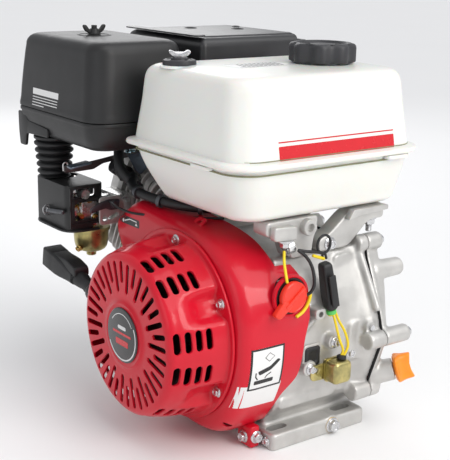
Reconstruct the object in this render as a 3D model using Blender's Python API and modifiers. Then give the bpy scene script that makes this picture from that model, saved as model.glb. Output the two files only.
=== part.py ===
"""Small air-cooled petrol engine: horizontal shaft, single inclined cylinder, recoil starter.

The engine stands on its base at z = 0. The crankshaft runs along X at the crank height, with the
recoil starter towards -X and the power take-off (PTO) towards +X. The cylinder leans towards +Y,
25 degrees above the horizontal. Sizes are in millimetres; the helpers turn them into metres.
"""

import bmesh
import bpy
from math import asin, cos, degrees, pi, radians, sin
from mathutils import Matrix, Vector

MM = 0.001
GAP = 0.3

# ---------------------------------------------------------------- driving dimensions (mm)
CRANK_Z = 132.0
BORE_ANGLE = 25.0
BORE_R = 45.0
STROKE = 66.0
THROW = STROKE / 2
ROD_LENGTH = 110.0
PISTON_TOP = 181.0
PISTON_R = 44.2
DECK = 183.0
HEAD_TOP = 246.0
ROCKER_TOP = 298.0

SLOT_X = 49.0
SLOT_Y = 98.5
SLOT_WIDTH = 11.0
SLOT_LENGTH = 28.0
BASE_X = (-67.3, 75.0)
BASE_Y = 115.4
BASE_TOP = 20.0

CASE_X0 = -58.0
GASKET_X = 75.0
COVER_X = GASKET_X + GAP
PTO_FACE_X = 112.0
PTO_R = 12.7
SHAFT_END_X = 200.0
PTO_HOLE_R = 58.4

DRUM_FRONT_X = -193.0
DRUM_BACK_X = -121.0
DRUM_R = 104.0
FACE_R = 93.0
SHROUD_FRONT_X = -120.0
SHROUD_WALL = 2.5
SKIN = 2.4

TANK_BOTTOM_Z = 268.0
TANK_RIM_Z = 331.0
TANK_TOP_Z = 424.0
CAP_X, CAP_Y = 63.0, -24.0
GAUGE_PLACE = (-94.0, 36.0)
NECK_R = 27.0

FILTER_X = (-172.0, -30.0)
FILTER_Y = (100.0, 300.0)
SEAM_Z = 352.0
FILTER_TOP_Z = 446.0

CARB_Y, CARB_Z = 208.0, 226.0
CARB_X = -118.0

GEAR_MODULE = 2 * 76.0 / 48
BALANCE_TEETH = 20
BALANCE_DISTANCE = 80.0
BALANCE_MODULE = BALANCE_DISTANCE / BALANCE_TEETH
COUNTERWEIGHT_R = 54.0
CAM_W = 62.0
CAM_U = (76.0 ** 2 - CAM_W ** 2) ** 0.5
BALANCE_ANGLE = 190.0

WORLD = Matrix.Identity(4)
ACROSS = Matrix.Rotation(radians(90), 4, "Y")


# ---------------------------------------------------------------- frames
def frame_z(x=0.0, y=0.0, z=0.0):
    """Local axes along X, Y and Z."""
    return Matrix.Translation(Vector((x, y, z)) * MM)


def frame_x(x=0.0, y=0.0, z=CRANK_Z):
    """Local x, y, z point along Y, Z and X."""
    turn = Matrix(((0, 0, 1), (1, 0, 0), (0, 1, 0))).to_4x4()
    return frame_z(x, y, z) @ turn


def frame_y(x=0.0, y=0.0, z=0.0):
    """Local x, y, z point along X, Z and -Y."""
    turn = Matrix(((1, 0, 0), (0, 0, -1), (0, 1, 0))).to_4x4()
    return frame_z(x, y, z) @ turn


def bore_frame(x=0.0, w=0.0, u=0.0):
    """Local z along the cylinder away from the crank, local y down across it."""
    turn = Matrix.Rotation(radians(BORE_ANGLE - 90), 4, "X")
    return frame_z(0, 0, CRANK_Z) @ turn @ frame_z(x, w, u)


def aimed(start, direction):
    """Local z points from start along a direction."""
    turn = Vector(direction).to_track_quat("Z", "Y").to_matrix().to_4x4()
    return frame_z(*start) @ turn


def bore_point(x, w, u):
    """A point of the cylinder's frame, in millimetres in the engine's frame."""
    a = radians(BORE_ANGLE)
    return (x, u * cos(a) + w * sin(a), CRANK_Z + u * sin(a) - w * cos(a))


# ---------------------------------------------------------------- outlines
def arc(cx, cy, r, start, end, steps):
    """Points on an arc, angles in degrees."""
    angles = [radians(start + (end - start) * i / steps) for i in range(steps + 1)]
    return [(cx + r * cos(a), cy + r * sin(a)) for a in angles]


def circle(cx, cy, r, sides):
    return arc(cx, cy, r, 0, 360 * (sides - 1) / sides, sides - 1)


def rounded_box(x0, y0, x1, y1, r, steps=2):
    """A rectangle with round corners, counterclockwise."""
    corners = ((x1 - r, y0 + r, -90), (x1 - r, y1 - r, 0), (x0 + r, y1 - r, 90), (x0 + r, y0 + r, 180))
    return [p for cx, cy, start in corners for p in arc(cx, cy, r, start, start + 90, steps)]


def slot(cx, cy, length, width, turn=0.0, steps=3):
    """A slot with round ends, centred at a point, its long side turned by an angle."""
    r = width / 2
    half = length / 2 - r
    ends = arc(half, 0, r, -90, 90, steps) + arc(-half, 0, r, 90, 270, steps)
    c, s = cos(radians(turn)), sin(radians(turn))
    return [(cx + c * x - s * y, cy + s * x + c * y) for x, y in ends]


def gear_outline(teeth, module, phase):
    """A straight-flanked gear with generous backlash; phase is one tooth's direction."""
    pitch = 360 / teeth
    tip = module * (teeth / 2 + 0.7)
    root = module * (teeth / 2 - 1.0)
    points = []
    for i in range(teeth):
        middle = phase + i * pitch
        for r, share in ((root, -0.2), (tip, -0.09), (tip, 0.09), (root, 0.2)):
            a = radians(middle + share * pitch)
            points.append((r * cos(a), r * sin(a)))
    return points


def meshed_phase(teeth_a, phase_a, teeth_b, direction):
    """The phase that puts gear B's teeth in gear A's gaps, B lying in a direction from A."""
    share = ((direction - phase_a) / (360 / teeth_a)) % 1
    return direction + 180 - (0.5 - share) * 360 / teeth_b


# ---------------------------------------------------------------- shapes
def collection(name):
    made = bpy.data.collections.new(name)
    bpy.context.scene.collection.children.link(made)
    return made


def clear_scene():
    for old in list(bpy.data.objects):
        bpy.data.objects.remove(old)


clear_scene()
ENGINE = collection("small_gasoline_engine")
CUTTERS = collection("cutters")


def add(name, data, frame):
    """A shape starts as a hidden cutter; part() makes it a sub-part."""
    obj = bpy.data.objects.new(name, data)
    CUTTERS.objects.link(obj)
    obj.matrix_world = frame
    obj.hide_render = True
    obj.display_type = "WIRE"
    return obj


def from_bmesh(bm, frame):
    bmesh.ops.recalc_face_normals(bm, faces=bm.faces)
    mesh = bpy.data.meshes.new("shape")
    bm.to_mesh(mesh)
    bm.free()
    return add("shape", mesh, frame)


def block(low, high, frame=WORLD):
    """A box between two corners."""
    bm = bmesh.new()
    bmesh.ops.create_cube(bm, size=1)
    low, high = Vector(low) * MM, Vector(high) * MM
    bmesh.ops.scale(bm, vec=high - low, verts=bm.verts)
    bmesh.ops.translate(bm, vec=(low + high) / 2, verts=bm.verts)
    return from_bmesh(bm, frame)


def rod(r, low, high, frame=WORLD, sides=14, top_r=None):
    """A cylinder or cone along local z."""
    bm = bmesh.new()
    turn = Matrix.Translation((0, 0, (low + high) / 2 * MM))
    end_r = r if top_r is None else top_r
    bmesh.ops.create_cone(bm, cap_ends=True, segments=sides, radius1=r * MM, radius2=end_r * MM,
                          depth=(high - low) * MM, matrix=turn)
    return from_bmesh(bm, frame)


def flat_curve(loops, thickness):
    """A filled 2D curve of closed outlines; inner outlines are holes."""
    curve = bpy.data.curves.new("outline", "CURVE")
    curve.dimensions = "2D"
    curve.fill_mode = "BOTH"
    curve.extrude = thickness / 2 * MM
    for loop in loops:
        spline = curve.splines.new("POLY")
        spline.points.add(len(loop) - 1)
        for point, (x, y) in zip(spline.points, loop):
            point.co = (x * MM, y * MM, 0, 1)
        spline.use_cyclic_u = True
    return curve


def meshed(curve):
    """The welded mesh of a curve."""
    holder = bpy.data.objects.new("holder", curve)
    CUTTERS.objects.link(holder)
    view = bpy.context.evaluated_depsgraph_get()
    mesh = bpy.data.meshes.new_from_object(holder.evaluated_get(view))
    bpy.data.objects.remove(holder)
    bm = bmesh.new()
    bm.from_mesh(mesh)
    bmesh.ops.remove_doubles(bm, verts=bm.verts, dist=0.00001)
    bpy.data.meshes.remove(mesh)
    return bm


def plate(loops, low, high, frame=WORLD):
    """Flat outlines given a thickness from low to high along local z."""
    bm = meshed(flat_curve(loops, high - low))
    bmesh.ops.translate(bm, vec=(0, 0, (low + high) / 2 * MM), verts=bm.verts)
    return from_bmesh(bm, frame)


def turned(profile, frame=WORLD, steps=32):
    """A profile of (radius, height) turned about local z."""
    mesh = bpy.data.meshes.new("profile")
    edges = [(i, i + 1) for i in range(len(profile) - 1)]
    mesh.from_pydata([(r * MM, 0, h * MM) for r, h in profile], edges, [])
    obj = add("turned", mesh, frame)
    screw = obj.modifiers.new("turn", "SCREW")
    screw.steps = steps
    screw.render_steps = steps
    screw.use_merge_vertices = True
    screw.merge_threshold = 0.00001
    return obj


def loft(sections, frame=WORLD):
    """A skin over outlines of equal length; each section is (outline, height)."""
    bm = bmesh.new()
    rings = [[bm.verts.new((x * MM, y * MM, h * MM)) for x, y in outline] for outline, h in sections]
    count = len(rings[0])
    for lower, upper in zip(rings, rings[1:]):
        for i in range(count):
            j = (i + 1) % count
            bm.faces.new((lower[i], lower[j], upper[j], upper[i]))
    bm.faces.new(rings[0][::-1])
    bm.faces.new(rings[-1])
    return from_bmesh(bm, frame)


def smooth_route(points, per_span):
    """Points on a smooth curve through a route's own points."""
    route = [Vector(p) for p in points]
    ends = [route[0] * 2 - route[1]] + route + [route[-1] * 2 - route[-2]]
    out = []
    for a, b, c, d in zip(ends, ends[1:], ends[2:], ends[3:]):
        for i in range(per_span):
            t = i / per_span
            out.append(0.5 * ((2 * b) + (c - a) * t + (2 * a - 5 * b + 4 * c - d) * t * t
                              + (3 * b - a - 3 * c + d) * t ** 3))
    return out + [route[-1]]


def tube_curve(points, r, resolution=2):
    """A round tube with closed ends along a route."""
    curve = bpy.data.curves.new("route", "CURVE")
    curve.dimensions = "3D"
    curve.bevel_depth = r * MM
    curve.bevel_resolution = resolution
    curve.use_fill_caps = True
    spline = curve.splines.new("POLY")
    spline.points.add(len(points) - 1)
    for point, place in zip(spline.points, points):
        point.co = (*(Vector(place) * MM), 1)
    return curve


def tube(points, r, per_span=5):
    return add("tube", tube_curve(smooth_route(points, per_span), r), WORLD)


def solid_tube(points, r, per_span=3, resolution=3):
    """A tube as a mesh that Booleans can join."""
    return from_bmesh(meshed(tube_curve(smooth_route(points, per_span), r, resolution)), WORLD)


def combine(base, operation, others):
    for other in others:
        step = base.modifiers.new(operation.lower(), "BOOLEAN")
        step.operation = operation
        step.object = other
    return base


def union(base, *others):
    return combine(base, "UNION", others)


def cut(base, *others):
    return combine(base, "DIFFERENCE", others)


# ---------------------------------------------------------------- materials and parts
FINISHES = {
    "cast": ((0.62, 0.62, 0.6), 0.45, 0.8),
    "steel": ((0.55, 0.55, 0.56), 0.3, 1.0),
    "iron": ((0.2, 0.2, 0.21), 0.5, 0.9),
    "zinc": ((0.5, 0.45, 0.25), 0.35, 0.9),
    "red": ((0.72, 0.03, 0.05), 0.18, 0.0),
    "black_paint": ((0.02, 0.02, 0.02), 0.4, 0.0),
    "black_plastic": ((0.025, 0.025, 0.027), 0.5, 0.0),
    "white_plastic": ((0.85, 0.85, 0.82), 0.35, 0.0),
    "orange_plastic": ((0.95, 0.35, 0.03), 0.35, 0.0),
    "red_plastic": ((0.85, 0.08, 0.04), 0.35, 0.0),
    "rubber": ((0.02, 0.02, 0.02), 0.7, 0.0),
    "ceramic": ((0.9, 0.9, 0.88), 0.2, 0.0),
    "foam": ((0.35, 0.33, 0.28), 0.9, 0.0),
    "yellow": ((0.9, 0.75, 0.05), 0.45, 0.0),
}


def finish(name, kind):
    color, roughness, metallic = FINISHES[kind]
    made = bpy.data.materials.new(name)
    made.use_nodes = True
    shader = made.node_tree.nodes["Principled BSDF"]
    shader.inputs["Base Color"].default_value = (*color, 1)
    shader.inputs["Roughness"].default_value = roughness
    shader.inputs["Metallic"].default_value = metallic
    return made


def part(obj, name, kind):
    """Turn a shape into a named sub-part with its own material."""
    CUTTERS.objects.unlink(obj)
    ENGINE.objects.link(obj)
    obj.name = name
    obj.data.name = name
    obj.hide_render = False
    obj.display_type = "TEXTURED"
    obj.data.materials.clear()
    obj.data.materials.append(finish(name, kind))
    if obj.type == "MESH":
        obj.data.shade_smooth()
        obj.data.set_sharp_from_angle(angle=radians(30))
    return obj


# ---------------------------------------------------------------- crankcase
def case_outline(front):
    """The crankcase's section in (Y, Z - crank height); front is how far the wall bulges to -Y."""
    rear = [(-82, 16), (86, 16), (88, 24), (114, 45), (127, 75), (130, 97), (119, 128), (70, 214), (30, 222),
            (-60, 222)]
    bulge = [(-94 - front * 0.25, 222), (-98 - front * 0.25, 205), (-112 - front * 0.2, 175),
             (-113 - front * 0.8, 142), (-113 - front, 126), (-113 - front, 107), (-109 - front * 0.8, 83),
             (-104 - front * 0.4, 46), (-84, 24)]
    return [(y, z - CRANK_Z) for y, z in rear + bulge]


def case_inside(front):
    """The crankcase's hollow section, a wall's thickness inside its outline."""
    rear = [(-74, 27), (78, 27), (80, 30), (106, 48), (119, 77), (122, 97), (112, 124), (65, 206), (28, 214),
            (-60, 214)]
    bulge = [(-86 - front * 0.25, 214), (-90 - front * 0.25, 203), (-104 - front * 0.2, 172),
             (-105 - front * 0.8, 140), (-105 - front, 125), (-105 - front, 108), (-101 - front * 0.8, 85),
             (-97 - front * 0.4, 49), (-76, 31)]
    return [(y, z - CRANK_Z) for y, z in rear + bulge]


def fin_stack(core, fin, first, last, pitch, thickness, start, end):
    """Sections of a finned block: each fin steps out of the core and back in."""
    sections = [(core, start)]
    u = first
    while u <= last:
        sections += [(core, u), (fin, u), (fin, u + thickness), (core, u + thickness)]
        u += pitch
    return sections + [(core, end)]


EAR_SPOTS = ((-137.0, 116.0), (-97.0, 223.0))
EAR_R = 10.5


def crankcase():
    case = loft([(case_outline(0), CASE_X0), (case_outline(12), 50), (case_outline(21), 62),
                 (case_outline(21), GASKET_X)], frame_x())
    base = block((BASE_X[0], -BASE_Y, 0), (BASE_X[1], BASE_Y, BASE_TOP))
    core = rounded_box(-55, -56, 55, 71, 14, 1)
    fin = rounded_box(-72, -70, 72, 82, 16, 1)
    barrel = loft(fin_stack(core, fin, 114, 164, 10, 3, 72, 174)
                  + [(fin, 174), (fin, DECK - GAP)], bore_frame())
    ears = [rod(EAR_R, x, GASKET_X, frame_x(0, y, z)) for x, (y, z) in zip((50, 61), EAR_SPOTS)]
    boss = rod(46, CASE_X0 + 4, CASE_X0 + 22, frame_x(), sides=24)
    hollow = loft([(case_inside(0), CASE_X0 + 9), (case_inside(12), 50), (case_inside(21), 62),
                   (case_inside(21), GASKET_X + 2)], frame_x())
    cylinder = rod(BORE_R, 45, DECK + 2, bore_frame(), sides=24)
    tunnels = [rod(7, 60, DECK + 2, bore_frame(x, CAM_W, 0), sides=10) for x in (-20, 20)]
    seat = rod(36.8, CASE_X0 + 3, CASE_X0 + 24, frame_x(), sides=24)
    shaft = rod(20, CASE_X0 - 2, CASE_X0 + 24, frame_x(), sides=16)
    slot_places = [(x, y) for x in (-SLOT_X, SLOT_X) for y in (-SLOT_Y, SLOT_Y)]
    slots = plate([slot(x, y, SLOT_LENGTH, SLOT_WIDTH) for x, y in slot_places], -5, BASE_TOP + 5)
    union(case, base, barrel, *ears)
    cut(case, hollow)
    union(case, boss)
    well = rod(8, -24, 10, aimed(TUBE_START, TUBE_END - TUBE_START), sides=12)
    cut(case, cylinder, *tunnels, seat, shaft, slots, well)
    part(case, "crankcase", "cast")


TUBE_START = Vector((78.0, -106.0, 57.0))
TUBE_END = Vector((112.0, -134.0, 70.0))
TUBE_R = 13.0


def side_cover():
    shell = loft([(case_outline(21), COVER_X), (case_outline(21), 88), (case_inside(14), 104)], frame_x())
    hub = rod(54, 96, PTO_FACE_X, frame_x(), sides=24)
    ends = ((113, EAR_SPOTS[0]), (98, EAR_SPOTS[1]))
    ears = [rod(EAR_R, COVER_X, x, frame_x(0, y, z)) for x, (y, z) in ends]
    pads = [rod(11, 92, PTO_FACE_X, frame_x(0, PTO_HOLE_R * sy, CRANK_Z + PTO_HOLE_R * sz), sides=12)
            for sy in (-1, 1) for sz in (-1, 1)]
    post = rod(11, 86, 132, frame_x(0, -100, 186))
    along = TUBE_END - TUBE_START
    filler = rod(TUBE_R, -4, along.length - 8, aimed(TUBE_START, along))
    cut(filler, block((40, -160, 20), (COVER_X + 3, -60, 110)))
    hollow = loft([(case_inside(21), COVER_X - 2), (case_inside(21), 87), (case_inside(6), 99)], frame_x())
    boss = rod(46, 78, 106, frame_x(), sides=24)
    seat = rod(36.8, 70, 98, frame_x(), sides=24)
    hole = rod(18, 90, PTO_FACE_X + 3, frame_x(), sides=20)
    well = rod(9, -40, along.length, aimed(TUBE_START, along), sides=12)
    cover = union(shell, hub, *ears, *pads, post, filler)
    cut(cover, hollow)
    union(cover, boss)
    cut(cover, seat, hole, well)
    part(cover, "side_cover", "cast")


def dipstick():
    along = TUBE_END - TUBE_START
    frame = aimed(TUBE_START, along)
    far = along.length
    stick = rod(4, -14, far - 6, frame, sides=8)
    plug = rod(8.3, far - 22, far - 6, frame, sides=12)
    head = plate([circle(0, 0, 17, 20)], far - 8 + GAP, far + 3, frame)
    tab = block((-3.5, -15, far + 2), (3.5, 15, far + 12), frame)
    part(union(stick, plug, head, tab), "dipstick", "orange_plastic")


def main_bearing(name, x):
    ring = turned([(36, x + 17), (36, x), (17.6, x), (17.6, x + 17), (36, x + 17)], frame_x(), 24)
    part(ring, name, "steel")


# ---------------------------------------------------------------- crank train
def web_outline():
    """A crank web: a counterweight sector opposite the pin and a narrow cheek round the pin."""
    a = BORE_ANGLE
    px, py = THROW * cos(radians(a)), THROW * sin(radians(a))
    return arc(0, 0, COUNTERWEIGHT_R, a + 115, a + 245, 8) + arc(px, py, 19, a - 80, a + 80, 5)


def crank_halves():
    fly = rod(17, -70, -20, frame_x(), sides=24)
    union(fly, rod(12, -139, -60, frame_x(), sides=20), plate([web_outline()], -33, -13, frame_x()))
    part(fly, "crankshaft_flywheel_half", "steel")
    pto = rod(17, 20, 100, frame_x(), sides=24)
    union(pto, rod(PTO_R, 90, SHAFT_END_X, frame_x(), sides=24),
          plate([web_outline()], 13, 33, frame_x()),
          plate([gear_outline(16, GEAR_MODULE, CRANK_GEAR_PHASE)], 38, 50, frame_x()),
          plate([gear_outline(BALANCE_TEETH, BALANCE_MODULE, 0)], 57, 65, frame_x()))
    cut(pto, block((-3.4, 7.9, 138), (3.4, 20, 190), frame_x()))
    part(pto, "crankshaft_pto_half", "steel")
    part(block((-3.1, 7.9 + GAP, 138.4), (3.1, 7.9 + GAP + 6.3, 189.6), frame_x()), "shaft_key", "steel")


def piston_group():
    pin = bore_frame(0, 0, THROW) @ ACROSS
    wrist = bore_frame(0, 0, THROW + ROD_LENGTH) @ ACROSS
    part(rod(16, -12.5, 12.5, pin, sides=24), "crankpin", "steel")
    shank = block((-11, -8, THROW + 14), (11, 8, THROW + ROD_LENGTH - 8), bore_frame())
    rod_body = union(rod(24, -11, 11, pin, sides=24), rod(15, -11, 11, wrist, sides=20), shank)
    cut(rod_body, rod(16.5, -14, 14, pin, sides=24), rod(10.6, -14, 14, wrist, sides=20))
    part(rod_body, "connecting_rod", "cast")
    skirt = PISTON_TOP - 58
    body = turned([(0, PISTON_TOP), (PISTON_R, PISTON_TOP), (PISTON_R, skirt), (38, skirt),
                   (38, PISTON_TOP - 8), (0, PISTON_TOP - 8)], bore_frame(), 24)
    bosses = [rod(14, low, low + 23, wrist, sides=16) for low in (-37, 14)]
    slippers = [block((x, -50, skirt - 2), (x + 10, 50, skirt + 24), bore_frame()) for x in (-47, 37)]
    union(body, *bosses, rod(10, -36.5, 36.5, wrist, sides=20))
    cut(body, *slippers)
    part(body, "piston", "cast")


def cam_place():
    x, y, z = bore_point(0, CAM_W, CAM_U)
    return y, z


CAM_DIRECTION = BORE_ANGLE - degrees(asin(CAM_W / 76.0))
CRANK_GEAR_PHASE = CAM_DIRECTION
CAM_PHASE = CAM_DIRECTION + 180 + 360 / 64
GOVERNOR_DIRECTION = 218.0
GOVERNOR_DISTANCE = GEAR_MODULE * (32 + 12) / 2


def lobe_outline(direction):
    """An egg-shaped cam lobe with its nose in a direction."""
    a = radians(direction)
    return arc(0, 0, 12, direction + 70, direction + 290, 10) + arc(
        13 * cos(a), 13 * sin(a), 6, direction - 60, direction + 60, 4)


def camshaft():
    y, z = cam_place()
    frame = frame_x(0, y, z)
    shaft = rod(8, CASE_X0 + 12, 72, frame, sides=16)
    union(shaft, plate([gear_outline(32, GEAR_MODULE, CAM_PHASE)], 38.5, 49.5, frame),
          plate([lobe_outline(120)], -26, -14, frame), plate([lobe_outline(-140)], 14, 26, frame))
    part(shaft, "camshaft", "iron")


def balancer_shaft():
    a = radians(BALANCE_ANGLE)
    frame = frame_x(0, BALANCE_DISTANCE * cos(a), CRANK_Z + BALANCE_DISTANCE * sin(a))
    phase = meshed_phase(BALANCE_TEETH, 0, BALANCE_TEETH, BALANCE_ANGLE)
    weight = arc(0, 0, 18, BALANCE_ANGLE + 90, BALANCE_ANGLE + 270, 8)
    shaft = rod(8, CASE_X0 + 12, 72, frame, sides=16)
    union(shaft, plate([gear_outline(BALANCE_TEETH, BALANCE_MODULE, phase)], 57.5, 64.5, frame),
          plate([weight], -12, 12, frame))
    part(shaft, "balancer_shaft", "iron")


def governor_gear():
    y, z = cam_place()
    a = radians(GOVERNOR_DIRECTION)
    frame = frame_x(0, y + GOVERNOR_DISTANCE * cos(a), z + GOVERNOR_DISTANCE * sin(a))
    phase = meshed_phase(32, CAM_PHASE, 12, GOVERNOR_DIRECTION)
    shaft = rod(4, 20, 70, frame, sides=12)
    union(shaft, plate([gear_outline(12, GEAR_MODULE, phase)], 39, 49, frame),
          rod(9, 20, 41, frame, sides=12))
    part(shaft, "governor_gear", "black_plastic")


# ---------------------------------------------------------------- head and valve train
VALVE_X = {"intake": -20.0, "exhaust": 20.0}
VALVE_W = -6.0
ROCKER_PIVOT_W = 28.0
ROCKER_U = 264.0
STEM_TOP = 258.0


def cylinder_head():
    core = rounded_box(-56, -58, 56, 74, 14, 1)
    fin = rounded_box(-72, -70, 72, 82, 16, 1)
    head = loft([(fin, DECK), (fin, DECK + 9)]
                + fin_stack(core, fin, DECK + 15, DECK + 42, 9, 3, DECK + 9, HEAD_TOP - 9)
                + [(fin, HEAD_TOP - 9), (fin, HEAD_TOP)], bore_frame())
    pedestals = [block((x - 4.5, ROCKER_PIVOT_W - 7, HEAD_TOP - 5),
                       (x + 4.5, ROCKER_PIVOT_W + 7, ROCKER_U + 7), bore_frame()) for x in (-34, 0, 34)]
    pivot = rod(4, -37, 37, bore_frame(0, ROCKER_PIVOT_W, ROCKER_U) @ ACROSS,
                sides=12)
    ports = [rod(17, 50, 76, frame_x(0, CARB_Y, CARB_Z), sides=16),
             rod(17, -76, -50, frame_x(0, CARB_Y, CARB_Z), sides=16)]
    union(head, *ports)
    cut(head, rod(44, DECK - 2, DECK + 9, bore_frame(), sides=32),
        *[rod(7, DECK - 2, HEAD_TOP + 2, bore_frame(x, CAM_W, 0), sides=12) for x in VALVE_X.values()],
        *[rod(3.6, DECK, HEAD_TOP + 2, bore_frame(x, VALVE_W, 0), sides=10) for x in VALVE_X.values()],
        *[rod(13, s, e, frame_x(0, CARB_Y, CARB_Z), sides=16) for s, e in ((-78, -20), (20, 78))],
        rod(7.6, -30, 60, aimed(PLUG_SEAT, PLUG_DIRECTION), sides=12),
        rod(14, 9, 60, aimed(PLUG_SEAT, PLUG_DIRECTION), sides=12))
    union(head, *pedestals, pivot)
    part(head, "cylinder_head", "cast")


PLUG_DIRECTION = Vector((-0.82, -0.05, 0.57))
PLUG_SEAT = Vector((-62.0, 174.0, 257.0))


def spark_plug():
    frame = aimed(PLUG_SEAT, PLUG_DIRECTION)
    body = rod(6.8, -26, 20, frame, sides=12)
    union(body, rod(10.5, 12, 22, frame, sides=6), rod(5, 15, 44, frame, sides=12))
    part(body, "spark_plug", "ceramic")


def spark_plug_cap():
    frame = aimed(PLUG_SEAT, PLUG_DIRECTION)
    boot = rod(9, 26, 54, frame, sides=16)
    bend = PLUG_SEAT + PLUG_DIRECTION * 50
    elbow = solid_tube([PLUG_SEAT + PLUG_DIRECTION * 48, bend + Vector((0, -8, -3)),
                        bend + Vector((1, -20, -12))], 5.5, 3, 2)
    union(boot, elbow)
    cut(boot, rod(5.4, 20, 46, frame, sides=12))
    part(boot, "spark_plug_cap", "rubber")


def rocker_cover():
    outer = rounded_box(-58, -52, 58, 74, 20)
    top = rounded_box(-46, -42, 46, 64, 16)
    flange = rounded_box(-64, -58, 64, 80, 16)
    inner = rounded_box(-54, -48, 54, 70, 17)
    inner_top = rounded_box(-43, -39, 43, 61, 14)
    cover = loft([(flange, HEAD_TOP + GAP), (flange, HEAD_TOP + 6), (outer, HEAD_TOP + 6),
                  (outer, ROCKER_TOP - 14), (top, ROCKER_TOP)], bore_frame())
    cut(cover, loft([(inner, HEAD_TOP - 2), (inner, ROCKER_TOP - 16), (inner_top, ROCKER_TOP - 4)],
                    bore_frame()))
    part(cover, "rocker_cover", "cast")


def valve(kind):
    x = VALVE_X[kind]
    head_r = 17 if kind == "intake" else 15
    profile = [(0, STEM_TOP), (2.8, STEM_TOP), (2.8, DECK + 8.7), (head_r, DECK + 8),
               (head_r, DECK + 6.5), (0, DECK + 6.5)]
    part(turned(profile, bore_frame(x, VALVE_W, 0), 16), kind + "_valve", "steel")


def push_rod(kind):
    x = VALVE_X[kind]
    body = rod(3, 70, STEM_TOP, bore_frame(x, CAM_W, 0), sides=10)
    union(body, rod(6, 69, 73, bore_frame(x, CAM_W, 0), sides=10))
    part(body, kind + "_push_rod", "steel")


def rocker(kind):
    x = VALVE_X[kind]
    frame = bore_frame(x, ROCKER_PIVOT_W, ROCKER_U) @ ACROSS
    hub = rod(9, -7, 7, frame, sides=16)
    low = -4.5
    arm = block((-6, VALVE_W - 5, low), (6, CAM_W + 5, low + 8), bore_frame(x, 0, ROCKER_U))
    union(hub, arm)
    cut(hub, rod(4.6, -9, 9, frame, sides=12))
    part(hub, kind + "_rocker", "iron")


# ---------------------------------------------------------------- flywheel side
def flywheel():
    profile = [(96, -74), (96, -110), (86, -110), (86, -82), (30, -82), (30, -104), (12.4, -104),
               (12.4, -74), (96, -74)]
    part(turned(profile, frame_x(), 20), "flywheel", "iron")


def cooling_fan():
    blades = []
    count = 12
    for i in range(count):
        a = 360 * i / count
        for r, offset in ((38, -2), (90, 4), (90, 6.5), (38, 6)):
            t = radians(a + offset)
            blades.append((r * cos(t), r * sin(t)))
    fan = plate([blades], -140, -112, frame_x())
    union(fan, rod(92, -113, -110.4, frame_x(), sides=24))
    cut(fan, rod(30, -150, -100, frame_x(), sides=20))
    part(fan, "cooling_fan", "black_plastic")


def starter_cup():
    profile = [(34, -104.4), (34, -106), (29.5, -106), (29.5, -141), (38, -141), (38, -155), (34, -155),
               (34, -145), (12.4, -145), (12.4, -136), (26, -136), (26, -104.4), (34, -104.4)]
    part(turned(profile, frame_x(), 16), "starter_cup", "iron")


def recoil_slots():
    """Radial cooling slots in the drum's front face, long and short by turns."""
    count = 36
    cuts = []
    for i in range(count):
        a = 360 * (i + 0.5) / count
        length = 34 if i % 2 else 26
        r = 84 - length / 2
        cuts.append(slot(r * cos(radians(a)), r * sin(radians(a)), length, 5, a, 1))
    return plate(cuts, DRUM_FRONT_X - 6, DRUM_FRONT_X + 8, frame_x())


ROPE_SLOPE = radians(9.5)
ROPE_DIRECTION = Vector((0, cos(ROPE_SLOPE), sin(ROPE_SLOPE)))
ROPE_START = Vector((-168.0, 48.0, CRANK_Z + 6.0))
GRIP_START = 67.5
GRIP_END = 185.0


def recoil_housing():
    t = SKIN
    f, b = DRUM_FRONT_X, DRUM_BACK_X
    outside = [(0, f - 2), (38, f - 2), (38, f), (FACE_R - 6, f), (FACE_R, f + 4), (DRUM_R - 3, f + 18),
               (DRUM_R, b - 4), (DRUM_R + 7, b - 3), (DRUM_R + 7, b)]
    inside = [(DRUM_R - t, b), (DRUM_R - 3 - t, f + 18), (FACE_R - t, f + 6), (FACE_R - 8, f + t),
              (9, f + t), (9, f + 20), (0, f + 20)]
    drum = turned((outside + inside)[::-1], frame_x(), 36)
    rope_frame = aimed(ROPE_START, ROPE_DIRECTION)
    outlet = rod(13, 44, GRIP_START - GAP, rope_frame)
    cut(outlet, rod(DRUM_R - t - 0.5, f + 20, b + 5, frame_x(), sides=36))
    cut(union(drum, outlet), recoil_slots(), rod(7, 20, 80, rope_frame, sides=12))
    part(drum, "recoil_housing", "red")


def centre_badge():
    part(turned([(0, DRUM_FRONT_X - 3.9), (33, DRUM_FRONT_X - 3.9), (33.4, DRUM_FRONT_X - 2 - GAP),
                 (0, DRUM_FRONT_X - 2 - GAP)][::-1], frame_x(), 32), "centre_badge", "black_paint")


def recoil_reel():
    x = -178
    profile = [(72, x + 20), (72, x + 17), (38, x + 14), (38, x + 6), (72, x + 3), (72, x), (9.6, x),
               (9.6, x + 20), (72, x + 20)]
    part(turned(profile, frame_x(), 20), "recoil_reel", "black_plastic")


def pull_grip():
    frame = aimed(ROPE_START, ROPE_DIRECTION)
    stem = [(circle(0, 0, 8.5, 12), GRIP_START), (circle(0, 0, 9.5, 12), 80), (circle(0, 0, 11, 12), 96)]
    neck = [(rounded_box(-12, -12, 12, 12, 7), 118), (rounded_box(-13, -12.5, 13, 12.5, 3), 150),
            (rounded_box(-13, -12.5, 13, 12.5, 3), GRIP_END)]
    grip = loft(stem + neck, frame)
    cut(grip, rod(3.3, 60, 105, frame, sides=10))
    part(grip, "pull_grip", "rubber")
    part(rod(2.6, -5, 102, frame, sides=10), "starter_rope", "black_plastic")


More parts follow.
